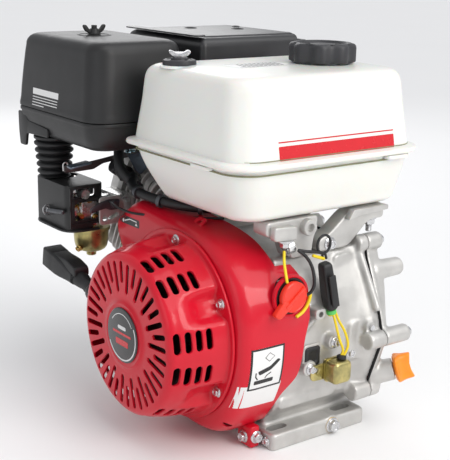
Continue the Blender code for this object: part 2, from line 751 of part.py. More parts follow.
def shroud_outline(inset):
    """The fan shroud's section in (Y, Z - crank height), moved in by an inset."""
    points = [(-60, 12), (0, 10), (60, 22), (95, 50), (113, 90), (119, 130), (126, 175), (151, 226),
              (106, 257), (40, 252), (-30, 246), (-74, 236), (-104, 212), (-121, 178), (-126, 140),
              (-124, 100), (-110, 60), (-90, 28)]
    centre = Vector((0, CRANK_Z))
    out = []
    for y, z in points:
        arm = Vector((y, z)) - centre
        arm *= 1 - inset / arm.length
        out.append((arm.x, arm.y))
    return out


SHROUD_EDGE = ((-60, 246), (-40, 214), (-27, 180), (-28, 158), (-39, 136), (-40, 88), (-56, 68), (-62, 44))
SWITCH_PLACE = (-58.0, -122.0, 189.0)


def fan_shroud():
    t = SHROUD_WALL
    front, back = SHROUD_FRONT_X, -27
    shell = loft([(shroud_outline(8), front), (shroud_outline(0), front + 8), (shroud_outline(0), back)],
                 frame_x())
    inside = loft([(shroud_outline(8 + t), front + t), (shroud_outline(t), front + 8 + t),
                   (shroud_outline(t), back + 5)], frame_x())
    mouth = rod(99, front - 5, front + 10, frame_x(), sides=48)
    rear = [block((-61, -101, -10), (0, 200, 320)), block((-73.5, 50, -10), (0, 200, 320)),
            block((-69, -200, -10), (0, 200, 30))]
    edge = plate([[(-62, 246)] + list(SHROUD_EDGE) + [(-62, 5), (0, 5), (0, 300), (-62, 300)]],
                 80, 160, frame_y())
    foot = block((-84, -96, 0.5), (-69, -70, 25))
    cut(shell, inside, mouth, *rear, edge)
    boss = rod(25, -6.5, 0.5, frame_y(*SWITCH_PLACE), sides=20, top_r=23)
    hole = rod(17.5, -30, 30, frame_y(*SWITCH_PLACE), sides=20)
    cut(union(shell, foot, boss), hole)
    part(shell, "fan_shroud", "red")


def switch():
    frame = frame_y(*SWITCH_PLACE)
    body = turned([(0, 4.5), (20, 4.5), (20, 1), (16.8, 1), (16.8, -8), (0, -8)], frame, 20)
    part(body, "switch_body", "black_plastic")
    knob = plate([circle(0, 0, 17.5, 24)], 4.5 + GAP, 13, frame)
    tail = plate([[(-4, -12), (-21, -22), (-27, -16), (-14, -2)]], 5, 12.5, frame)
    part(union(knob, tail), "switch_knob", "red_plastic")


def ignition_coil():
    part(block((-106, 6, 229.5), (-80, 42, 245)), "ignition_coil", "black_plastic")


# ---------------------------------------------------------------- fuel tank
def tank_section(dx0, dx1, dy0, dy1, r):
    """A tank section inset from the rim's rectangle."""
    return rounded_box(-135 + dx0, -129 + dy0, 139 - dx1, 96 - dy1, r, 3)


def fuel_tank():
    rim = tank_section(0, 0, 0, 0, 40)
    low = tank_section(10, 10, 9, 11, 34)
    high = tank_section(9, 9, 9, 9, 34)
    outer = [(tank_section(42, 32, 38, 66, 22), TANK_BOTTOM_Z),
             (tank_section(30, 22, 26, 54, 26), TANK_BOTTOM_Z + 3),
             (tank_section(22, 18, 20, 44, 30), TANK_BOTTOM_Z + 14), (tank_section(15, 13, 13, 24, 34), 305),
             (low, TANK_RIM_Z), (rim, TANK_RIM_Z), (rim, TANK_RIM_Z + 6), (high, TANK_RIM_Z + 6),
             (tank_section(17, 14, 21, 17, 32), 400), (tank_section(21, 18, 26, 21, 30), 414),
             (tank_section(27, 23, 32, 27, 27), 421), (tank_section(37, 32, 42, 37, 22), TANK_TOP_Z)]
    inner = [(tank_section(46, 36, 42, 70, 18), TANK_BOTTOM_Z + 4),
             (tank_section(27, 23, 25, 48, 26), TANK_BOTTOM_Z + 16),
             (tank_section(15, 14, 14, 16, 30), TANK_RIM_Z), (tank_section(23, 19, 27, 23, 28), 400),
             (tank_section(36, 30, 41, 37, 22), 417), (tank_section(50, 44, 55, 51, 16), TANK_TOP_Z - 4)]
    neck = rod(NECK_R, 410, 438, frame_z(CAP_X, CAP_Y, 0), sides=24)
    gauge_boss = rod(22, 398, TANK_TOP_Z, frame_z(*GAUGE_PLACE), sides=20)
    tank = union(loft(outer), neck, gauge_boss)
    cut(tank, loft(inner), rod(NECK_R - 4, 400, 445, frame_z(CAP_X, CAP_Y, 0), sides=24))
    part(tank, "fuel_tank", "white_plastic")


CAP_LOBES = 8


def fuel_cap():
    lobes = [(r * cos(a), r * sin(a)) for a, r in
             ((2 * pi * i / 32, 37.6 + 2.0 * cos(CAP_LOBES * 2 * pi * i / 32)) for i in range(32))]
    frame = frame_z(CAP_X, CAP_Y, 0)
    cap = loft([(lobes, 427), (lobes, 446), ([(x * 0.94, y * 0.94) for x, y in lobes], 450)], frame)
    cut(cap, rod(NECK_R + 1.5, 420, 440, frame, sides=24))
    part(cap, "fuel_cap", "black_plastic")


def fuel_gauge():
    frame = frame_z(*GAUGE_PLACE)
    disc = turned([(0, 433), (9, 433), (15, 431), (15, 428.5), (21, 428), (21, TANK_TOP_Z + GAP),
                   (0, TANK_TOP_Z + GAP)], frame, 20)
    part(disc, "fuel_gauge", "black_plastic")


def tank_brackets():
    arm = [(4, 222 + GAP), (46, 222 + GAP), (78, 250), (104, 250), (104, TANK_BOTTOM_Z - GAP),
           (70, TANK_BOTTOM_Z - GAP), (4, 236)]
    part(plate([arm], 78, 99, frame_y()), "tank_bracket_pto_side", "cast")
    hanger = [(-46, 222 + GAP), (-6, 222 + GAP), (-4, 244), (-2, TANK_BOTTOM_Z - GAP),
              (-76, TANK_BOTTOM_Z - GAP), (-76, 248), (-46, 244)]
    bracket = plate([hanger], 78, 104, frame_y())
    boss = rod(8.5, 100, 112, frame_y(-18, 0, 257))
    part(union(bracket, boss), "tank_bracket_starter_side", "cast")


# ---------------------------------------------------------------- air intake
def filter_section(inset, r):
    (x0, x1), (y0, y1) = FILTER_X, FILTER_Y
    return rounded_box(x0 + inset, y0 + inset, x1 - inset, y1 - inset, r, 3)


STUD_PLACE = (-110.0, 208.0)


def air_cleaner():
    t = SKIN
    cover = loft([(filter_section(0, 30), SEAM_Z + GAP), (filter_section(0, 30), SEAM_Z + 4),
                  (filter_section(4, 28), SEAM_Z + 12), (filter_section(7, 28), FILTER_TOP_Z - 14),
                  (filter_section(11, 26), FILTER_TOP_Z - 4), (filter_section(18, 22), FILTER_TOP_Z)])
    cut(cover, loft([(filter_section(t, 28), SEAM_Z - 2), (filter_section(4 + t, 26), SEAM_Z + 12),
                     (filter_section(7 + t, 26), FILTER_TOP_Z - 15),
                     (filter_section(20, 20), FILTER_TOP_Z - t)]),
        rod(4.5, FILTER_TOP_Z - 10, FILTER_TOP_Z + 5, frame_z(*STUD_PLACE), sides=12))
    part(cover, "air_cleaner_cover", "black_plastic")
    base = loft([(filter_section(34, 22), 304), (filter_section(18, 26), 312), (filter_section(5, 28), 336),
                 (filter_section(1, 30), SEAM_Z)])
    hollow = loft([(filter_section(36, 20), 308), (filter_section(20, 24), 315),
                   (filter_section(8, 26), 337), (filter_section(4, 27), SEAM_Z + 3)])
    cut(base, hollow, rod(20, 295, 320, frame_z(DUCT_X, DUCT_Y, 0), sides=20))
    union(base, rod(3.5, 303, FILTER_TOP_Z + 12, frame_z(*STUD_PLACE), sides=12))
    part(base, "air_cleaner_base", "black_plastic")
    ring = plate([filter_section(26, 22), filter_section(46, 14)[::-1]], 330, 424)
    part(ring, "filter_element", "foam")
    nut = turned([(0, FILTER_TOP_Z + 15), (8, FILTER_TOP_Z + 15), (11, FILTER_TOP_Z + GAP),
                  (0, FILTER_TOP_Z + GAP)], frame_z(*STUD_PLACE), 12)
    wings = plate([[(-19, 4), (19, 4), (21, 18), (15, 18), (7, 10), (-7, 10), (-15, 18), (-21, 18)]],
                  -2.2, 2.2, frame_y(*STUD_PLACE, FILTER_TOP_Z))
    union(nut, wings)
    cut(nut, rod(4.2, 430, FILTER_TOP_Z + 12.6, frame_z(*STUD_PLACE), sides=12))
    part(nut, "wing_nut", "black_plastic")


DUCT_X, DUCT_Y = -132.0, 254.0
DUCT_R = 27.0
CARB_BOX_X = (-163.0, -106.0)
CARB_BOX_Y = (189.0, 272.0)
CARB_BOX_Z = (203.0, 262.0)


def intake_duct():
    top = 303.3
    low = CARB_BOX_Z[1] + GAP
    profile = [(DUCT_R + 2, top)]
    ribs = 4
    pitch = (top - low) / ribs
    for i in range(ribs):
        h = top - i * pitch
        profile += [(DUCT_R + 2 - i, h - 0.45 * pitch), (DUCT_R - 1.5 - i, h - 0.6 * pitch),
                    (DUCT_R - 1.5 - i, h - 0.85 * pitch)]
    profile += [(DUCT_R - 3, low), (18, low), (18, top), (DUCT_R + 2, top)]
    part(turned(profile, frame_z(DUCT_X, DUCT_Y, 0), 16), "intake_duct", "rubber")


def carburetor_shroud():
    (x0, x1), (y0, y1), (z0, z1) = CARB_BOX_X, CARB_BOX_Y, CARB_BOX_Z
    outline = [(x0, y0), (x1, y0), (x1, y1), (x0 + 20, y1)] + arc(x0 + 20, y1 - 20, 20, 100, 180, 4)
    t = 3
    inner = [(x0 + t, y0 + t), (x1 + 5, y0 + t), (x1 + 5, y1 - t), (x0 + 20, y1 - t)] + arc(
        x0 + 20, y1 - 20, 20 - t, 100, 180, 4)
    box = plate([outline], z0, z1)
    windows = [block((x0 + 9, y0 - 5, a), (x1 - 10, y0 + 6, b)) for a, b in ((210, 229), (236, 249))]
    cut(box, plate([inner], z0 + t, z1 - t), rod(18, z1 - 8, z1 + 5, frame_z(DUCT_X, DUCT_Y, 0), sides=20),
        *windows, rod(27, z0 - 5, z0 + 8, frame_z(CARB_X, CARB_Y, 0), sides=20))
    part(box, "carburetor_shroud", "black_plastic")


def carburetor():
    throat = rod(14.5, -152, -80, frame_x(0, CARB_Y, CARB_Z), sides=16)
    flange = plate([rounded_box(-30, -18, 30, 18, 9)], -92, -76 - GAP, frame_x(0, CARB_Y, CARB_Z))
    body = plate([rounded_box(-15, -14, 15, 17, 5)], -140, -100, frame_x(0, CARB_Y, CARB_Z))
    column = rod(15, 203, 218, frame_z(CARB_X, CARB_Y, 0), sides=16)
    union(throat, flange, body, column)
    cut(throat, rod(12, -160, -70, frame_x(0, CARB_Y, CARB_Z), sides=16))
    part(throat, "carburetor", "cast")
    profile = [(0, 202.7), (23.5, 202.7), (23.5, 180), (19, 172), (7, 169), (6.5, 163), (0, 163)]
    part(turned(profile, frame_z(CARB_X, CARB_Y, 0), 24), "float_bowl", "zinc")


def choke_rod():
    bar = plate([[(-168, 284), (-166, 280), (-150, 281), (-76, 292), (-76, 299), (-150, 289), (-166, 289)]],
                -187, -184.5, frame_y())
    part(bar, "choke_rod", "iron")


def governor_controls():
    panel = plate([[(-132, 214), (-101, 214), (-101, 250), (-132, 250)]], -163, -160.5, frame_y())
    part(panel, "control_plate", "steel")
    lever_frame = frame_y(-112, 160.2, 240)
    lever = plate([[(-6, -6), (6, -6), (7, 6), (-10, 6), (-46, -2), (-46, -9), (-12, -4)]], 0, 2.5,
                  lever_frame)
    part(lever, "control_lever", "iron")
    arm_frame = frame_x(-97, 158, 150)
    arm = plate([[(-7, -8), (7, -8), (10, 60), (16, 64), (14, 72), (-1, 68), (-8, 6)]], 0, 2.5, arm_frame)
    part(arm, "governor_arm", "steel")


def fuel_hose():
    route = [(-92, 146, 276), (-104, 128, 270), (-110, 104, 266), (-108, 76, 264), (-98, 50, 261),
             (-84, 30, 259.5), (-66, 14, 258.5)]
    part(tube(route, 5.6, 3), "fuel_hose", "rubber")


# ---------------------------------------------------------------- exhaust
def exhaust():
    box = rounded_box(-6, 126, 136, 250, 26)
    small = rounded_box(0, 132, 130, 244, 20)
    can = loft([(small, 326), (box, 332), (box, 428), (small, 434)])
    pipe = solid_tube([(77, CARB_Y, CARB_Z), (88, CARB_Y, CARB_Z + 2), (98, CARB_Y - 2, CARB_Z + 16),
                       (100, CARB_Y - 6, 262), (100, CARB_Y - 8, 334)], 13, 3)
    flange = plate([rounded_box(-30, -18, 30, 18, 9)], 76.3, 84, frame_x(0, CARB_Y, CARB_Z))
    tail = rod(12, 130, 146, frame_x(0, 226, 350), sides=16)
    union(can, pipe, flange, tail)
    cut(can, rod(8, 134, 150, frame_x(0, 226, 350), sides=12),
        rod(9, 70, 82, frame_x(0, CARB_Y, CARB_Z), sides=12))
    part(can, "muffler", "iron")
    shield_out = [(rounded_box(-20, 111, 150, 264, 26), 330), (rounded_box(-20, 111, 150, 264, 26), 438),
                  (rounded_box(-14, 117, 144, 258, 22), 446), (rounded_box(-6, 125, 136, 250, 18), 448)]
    wall = rounded_box(-17.6, 113.4, 147.6, 261.6, 24)
    shield_in = [(wall, 325), (wall, 437), (rounded_box(-10, 121, 140, 254, 20), 445)]
    guard = cut(loft(shield_out), loft(shield_in))
    part(guard, "muffler_shield", "black_paint")


# ---------------------------------------------------------------- electrical pieces
def oil_alert():
    y = -124.5
    unit = plate([rounded_box(-13, -13, 13, 13, 5)], 0, 22, frame_y(8, y, 90))
    tab = plate([rounded_box(-32, -11, -8, 9, 3)], 0, 2.5, frame_y(8, y, 90))
    part(union(unit, tab), "oil_alert_unit", "zinc")


def wire_connector():
    path = aimed((2, -122, 214), (0.1, -0.06, -1))
    boot = loft([(rounded_box(-8, -7, 8, 7, 3), 0), (rounded_box(-9.5, -7, 9.5, 7, 3), 20),
                 (rounded_box(-7, -6, 7, 6, 3), 52)], path)
    part(boot, "wire_connector", "rubber")


def leads():
    part(tube([(8, -125.6, 160.5), (12, -129, 148), (15, -134, 134), (17, -138, 120), (15, -138, 110),
               (11, -136, 104.5)], 1.6, 3), "alert_lead", "yellow")
    part(tube([(-37.5, -128.5, 187), (-33, -131, 191), (-28, -130, 202), (-24, -125, 216), (-18, -116, 228),
               (-6, -113, 232), (1, -116, 224), (2, -120.5, 216)], 1.8, 2), "switch_lead", "rubber")


def build():
    crankcase()
    side_cover()
    dipstick()
    main_bearing("main_bearing_flywheel_side", CASE_X0 + 4)
    main_bearing("main_bearing_pto_side", 80)
    crank_halves()
    piston_group()
    camshaft()
    balancer_shaft()
    governor_gear()
    cylinder_head()
    rocker_cover()
    for kind in VALVE_X:
        valve(kind)
        push_rod(kind)
        rocker(kind)
    spark_plug()
    spark_plug_cap()
    ignition_coil()
    flywheel()
    cooling_fan()
    starter_cup()
    recoil_housing()
    centre_badge()
    recoil_reel()
    pull_grip()
    fan_shroud()
    switch()
    fuel_tank()
    fuel_cap()
    fuel_gauge()
    tank_brackets()
    air_cleaner()
    intake_duct()
    carburetor_shroud()
    carburetor()
    choke_rod()
    governor_controls()
    fuel_hose()
    exhaust()
    oil_alert()
    wire_connector()
    leads()


build()
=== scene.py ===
"""Looks of the small petrol engine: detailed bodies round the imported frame, materials, camera and light.

Lengths are millimetres and are turned into metres by the helpers. +X runs along the crankshaft to the
output side, +Y towards the cylinder and +Z up; the recoil starter faces -X and the switch faces -Y.
"""

from math import cos, degrees, pi, radians, sin, sqrt

import bmesh
import bpy
from mathutils import Matrix, Vector
from mathutils.bvhtree import BVHTree


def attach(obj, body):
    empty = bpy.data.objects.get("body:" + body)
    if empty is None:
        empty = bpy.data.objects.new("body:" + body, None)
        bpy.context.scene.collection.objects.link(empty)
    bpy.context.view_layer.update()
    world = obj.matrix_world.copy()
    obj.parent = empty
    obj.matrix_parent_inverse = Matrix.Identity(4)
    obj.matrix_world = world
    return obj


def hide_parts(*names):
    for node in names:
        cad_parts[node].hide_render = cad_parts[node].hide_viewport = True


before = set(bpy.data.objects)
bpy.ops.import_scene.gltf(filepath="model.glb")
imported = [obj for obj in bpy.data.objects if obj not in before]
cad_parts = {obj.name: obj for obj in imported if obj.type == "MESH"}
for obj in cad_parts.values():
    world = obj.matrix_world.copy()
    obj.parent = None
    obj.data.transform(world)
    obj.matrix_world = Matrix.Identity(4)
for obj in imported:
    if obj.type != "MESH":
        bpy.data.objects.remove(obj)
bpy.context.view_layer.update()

MM = 0.001
CRANK_Z = 132
DRUM_X = -193
SHROUD_X = -120


# ---- frames
def frame_z(x=0, y=0, z=0):
    return Matrix.Translation(Vector((x, y, z)) * MM)


def frame_x(x=0, y=0, z=CRANK_Z):
    """Local x, y, z point along Y, Z and X."""
    return frame_z(x, y, z) @ Matrix(((0, 0, 1), (1, 0, 0), (0, 1, 0))).to_4x4()


def frame_y(x=0, y=0, z=0):
    """Local x, y, z point along X, Z and -Y."""
    return frame_z(x, y, z) @ Matrix(((1, 0, 0), (0, 0, -1), (0, 1, 0))).to_4x4()


def aimed(start, direction):
    turn = Vector(direction).to_track_quat("Z", "Y").to_matrix().to_4x4()
    return frame_z(*start) @ turn


def bore_point(x, w, u):
    a = radians(25)
    return Vector((x, u * cos(a) + w * sin(a), CRANK_Z + u * sin(a) - w * cos(a)))


WORLD = Matrix.Identity(4)


# ---- outlines
def arc(cx, cy, r, start, end, steps):
    angles = [radians(start + (end - start) * i / steps) for i in range(steps + 1)]
    return [(cx + r * cos(a), cy + r * sin(a)) for a in angles]


def circle(cx, cy, r, sides):
    return arc(cx, cy, r, 0, 360 * (sides - 1) / sides, sides - 1)


def rounded_box(x0, y0, x1, y1, r, steps=6):
    corners = ((x1 - r, y0 + r, -90), (x1 - r, y1 - r, 0), (x0 + r, y1 - r, 90), (x0 + r, y0 + r, 180))
    return [p for cx, cy, start in corners for p in arc(cx, cy, r, start, start + 90, steps)]


def slot(cx, cy, length, width, turn=0, steps=6):
    r = width / 2
    half = length / 2 - r
    ends = arc(half, 0, r, -90, 90, steps) + arc(-half, 0, r, 90, 270, steps)
    c, s = cos(radians(turn)), sin(radians(turn))
    return [(cx + c * x - s * y, cy + s * x + c * y) for x, y in ends]


def softened(points, reach, steps=5, closed=True):
    """An outline with its corners rounded; reach is how far along its sides a corner's curve runs."""
    places = [Vector(p) for p in points]
    count = len(places)
    out = []
    for i, corner in enumerate(places):
        if not closed and i in (0, count - 1):
            out.append(tuple(corner))
            continue
        before, after = places[i - 1] - corner, places[(i + 1) % count] - corner
        near = corner + before.normalized() * min(reach, before.length * 0.49)
        far = corner + after.normalized() * min(reach, after.length * 0.49)
        for k in range(steps + 1):
            t = k / steps
            out.append(tuple(near * (1 - t) ** 2 + corner * 2 * t * (1 - t) + far * t * t))
    return out


def evenly(points, count):
    """A closed outline's points spread at equal steps along it."""
    places = [Vector(p) for p in points]
    places.append(places[0])
    lengths = [0]
    for a, b in zip(places, places[1:]):
        lengths.append(lengths[-1] + (b - a).length)
    out = []
    k = 0
    for i in range(count):
        target = lengths[-1] * i / count
        while lengths[k + 1] < target:
            k += 1
        t = (target - lengths[k]) / max(lengths[k + 1] - lengths[k], 1e-9)
        out.append(tuple(places[k].lerp(places[k + 1], t)))
    return out


def smooth_route(points, per_span=6):
    """Points on a smooth curve through a route's own points."""
    route = [Vector(p) for p in points]
    ends = [route[0] * 2 - route[1]] + route + [route[-1] * 2 - route[-2]]
    out = []
    for a, b, c, d in zip(ends, ends[1:], ends[2:], ends[3:]):
        for i in range(per_span):
            t = i / per_span
            out.append(0.5 * ((2 * b) + (c - a) * t + (2 * a - 5 * b + 4 * c - d) * t * t
                + (3 * b - a - 3 * c + d) * t ** 3))
    return out + [route[-1]]


def smooth_step(t):
    t = min(max(t, 0), 1)
    return t * t * (3 - 2 * t)


# ---- shapes
def add(mesh, where=WORLD, name="shape"):
    obj = bpy.data.objects.new(name, mesh)
    bpy.context.scene.collection.objects.link(obj)
    obj.matrix_world = where
    return obj


def from_bmesh(bm, where=WORLD):
    bmesh.ops.recalc_face_normals(bm, faces=bm.faces)
    mesh = bpy.data.meshes.new("shape")
    bm.to_mesh(mesh)
    bm.free()
    return add(mesh, where)


def skin(rings, where=WORLD, ends="caps"):
    """Quads over rings of points; ends are capped, joined to each other or left open."""
    bm = bmesh.new()
    made = [[bm.verts.new(Vector(p) * MM) for p in ring] for ring in rings]
    count = len(made[0])
    pairs = list(zip(made, made[1:]))
    if ends == "joined":
        pairs.append((made[-1], made[0]))
    for lower, upper in pairs:
        for i in range(count):
            j = (i + 1) % count
            bm.faces.new((lower[i], lower[j], upper[j], upper[i]))
    if ends == "caps":
        bm.faces.new(made[0][::-1])
        bm.faces.new(made[-1])
    return from_bmesh(bm, where)


def loft(sections, where=WORLD, ends="caps"):
    """A skin over outlines; each section is (outline, height)."""
    return skin([[(x, y, h) for x, y in outline] for outline, h in sections], where, ends)


def boxes(keys, where=WORLD, steps=6):
    """A loft over rounded boxes; each key is (x0, y0, x1, y1, corner radius, height)."""
    return loft([(rounded_box(*key[:5], steps), key[5]) for key in keys], where)


def turned(profile, where=WORLD, steps=64, ends="joined", reshape=None):
    """A profile of (radius, height) turned about local z; a closed profile makes a ring."""
    rings = []
    for r, h in profile:
        ring = []
        for i in range(steps):
            a = 2 * pi * i / steps
            radius = reshape(r, h, a) if reshape else r
            ring.append((radius * cos(a), radius * sin(a), h))
        rings.append(ring)
    return skin(rings, where, ends)


def block(low, high, where=WORLD):
    bm = bmesh.new()
    bmesh.ops.create_cube(bm, size=1)
    low, high = Vector(low) * MM, Vector(high) * MM
    bmesh.ops.scale(bm, vec=high - low, verts=bm.verts)
    bmesh.ops.translate(bm, vec=(low + high) / 2, verts=bm.verts)
    return from_bmesh(bm, where)


def rod(r, low, high, where=WORLD, sides=32, top_r=None):
    bm = bmesh.new()
    turn = Matrix.Translation((0, 0, (low + high) / 2 * MM))
    end_r = r if top_r is None else top_r
    bmesh.ops.create_cone(bm, cap_ends=True, segments=sides, radius1=r * MM, radius2=end_r * MM,
        depth=(high - low) * MM, matrix=turn)
    return from_bmesh(bm, where)


def plates(loops, low, high, where=WORLD):
    """Separate flat outlines, each given a thickness along local z."""
    bm = bmesh.new()
    for loop in loops:
        lower = [bm.verts.new((x * MM, y * MM, low * MM)) for x, y in loop]
        upper = [bm.verts.new((x * MM, y * MM, high * MM)) for x, y in loop]
        bm.faces.new(lower[::-1])
        bm.faces.new(upper)
        for i in range(len(loop)):
            j = (i + 1) % len(loop)
            bm.faces.new((lower[i], lower[j], upper[j], upper[i]))
    return from_bmesh(bm, where)


def sheet(points, reach, low, high, where=WORLD, steps=5):
    """One flat outline with rounded corners, given a thickness."""
    return plates([softened(points, reach, steps)], low, high, where)


def tube(points, r, sides=12):
    """A round tube along points, with slightly domed ends."""
    route = [Vector(p) for p in points]
    rings = []
    side = None
    last = len(route) - 1
    for i, p in enumerate(route):
        along = (route[min(i + 1, last)] - route[max(i - 1, 0)]).normalized()
        if side is None:
            side = along.orthogonal().normalized()
        side = (side - along * side.dot(along)).normalized()
        other = along.cross(side)
        ring = [p + (side * cos(2 * pi * k / sides) + other * sin(2 * pi * k / sides)) * r
            for k in range(sides)]
        if i in (0, last):
            inward = along if i == 0 else -along
            rim = [p + inward * -0.3 * r + (q - p) * 0.6 for q in ring]
            rings += [rim, ring] if i == 0 else [ring, rim]
        else:
            rings.append(ring)
    return skin(rings)


def applied(obj):
    """Turn an object's modifiers into its mesh."""
    view = bpy.context.evaluated_depsgraph_get()
    mesh = bpy.data.meshes.new_from_object(obj.evaluated_get(view))
    obj.modifiers.clear()
    obj.data = mesh
    return obj


def combine(base, operation, others):
    for other in others:
        step = base.modifiers.new(operation.lower(), "BOOLEAN")
        step.operation = operation
        step.object = other
        step.solver = "EXACT"
    applied(base)
    for other in others:
        bpy.data.objects.remove(other)
    return base


def union(base, *others):
    return combine(base, "UNION", others)


def cut(base, *others):
    return combine(base, "DIFFERENCE", others)


def joined(objs):
    """Several shapes as one object of separate bodies."""
    first = objs[0]
    bm = bmesh.new()
    for obj in objs:
        mesh = obj.data.copy()
        mesh.transform(obj.matrix_world)
        bm.from_mesh(mesh)
        bpy.data.meshes.remove(mesh)
    mesh = bpy.data.meshes.new("shape")
    bm.to_mesh(mesh)
    bm.free()
    for obj in objs[1:]:
        bpy.data.objects.remove(obj)
    first.data = mesh
    first.matrix_world = WORLD
    return first


def bevelled(obj, width, segments=2, angle=35):
    step = obj.modifiers.new("bevel", "BEVEL")
    step.width = width * MM
    step.segments = segments
    step.limit_method = "ANGLE"
    step.angle_limit = radians(angle)
    step.harden_normals = False
    return applied(obj)


CAST_VOXEL, CAST_ROUNDS, CAST_KEEP = 1.9, 3, 0.42


def cast(obj):
    """Soft fillets of a casting: remesh a joined shape evenly, smooth it and thin it out."""
    step = obj.modifiers.new("remesh", "REMESH")
    step.mode = "VOXEL"
    step.voxel_size = CAST_VOXEL * MM
    step.adaptivity = 0
    applied(obj)
    soften = obj.modifiers.new("soften", "SMOOTH")
    soften.factor = 0.5
    soften.iterations = CAST_ROUNDS
    thin = obj.modifiers.new("thin", "DECIMATE")
    thin.ratio = CAST_KEEP
    return applied(obj)


# ---- materials
DARK_STOP, LIGHT_STOP = 0.32, 0.68
LOWEST_ROUGHNESS = 0.02
ROUGHNESS_SCALE = 2.3
GRAIN_DEPTH = 0.0004


def surface(name, color, roughness, metallic=0, tint=0.05, tint_scale=60, grain=0, grain_scale=900,
        rough_spread=0.06, dark=None, **sockets):
    """A procedural material: mottled colour, uneven roughness and a fine grain."""
    made = bpy.data.materials.new(name)
    made.use_nodes = True
    nodes, links = made.node_tree.nodes, made.node_tree.links
    shader = nodes["Principled BSDF"]
    place = nodes.new("ShaderNodeTexCoord")

    def noise(scale, detail):
        node = nodes.new("ShaderNodeTexNoise")
        node.inputs["Scale"].default_value = scale
        node.inputs["Detail"].default_value = detail
        links.new(place.outputs["Object"], node.inputs["Vector"])
        return node

    ramp = nodes.new("ShaderNodeValToRGB")
    low = dark or [c * (1 - tint) for c in color]
    ramp.color_ramp.elements[0].position = DARK_STOP
    ramp.color_ramp.elements[0].color = (*low, 1)
    ramp.color_ramp.elements[1].position = LIGHT_STOP
    ramp.color_ramp.elements[1].color = (*[min(c * (1 + tint), 1) for c in color], 1)
    links.new(noise(tint_scale, 4).outputs["Fac"], ramp.inputs["Fac"])
    links.new(ramp.outputs["Color"], shader.inputs["Base Color"])
    spread = nodes.new("ShaderNodeMapRange")
    spread.inputs["To Min"].default_value = max(roughness - rough_spread, LOWEST_ROUGHNESS)
    spread.inputs["To Max"].default_value = roughness + rough_spread
    links.new(noise(tint_scale * ROUGHNESS_SCALE, 3).outputs["Fac"], spread.inputs["Value"])
    links.new(spread.outputs["Result"], shader.inputs["Roughness"])
    if grain:
        bump = nodes.new("ShaderNodeBump")
        bump.inputs["Strength"].default_value = grain
        bump.inputs["Distance"].default_value = GRAIN_DEPTH
        links.new(noise(grain_scale, 3).outputs["Fac"], bump.inputs["Height"])
        links.new(bump.outputs["Normal"], shader.inputs["Normal"])
    shader.inputs["Metallic"].default_value = metallic
    for socket, value in sockets.items():
        shader.inputs[socket.replace("_", " ")].default_value = value
    return made


def finish(slot_name, *look, **sockets):
    """A look's material and the name of the material that it stands for."""
    return surface(*look, **sockets), slot_name
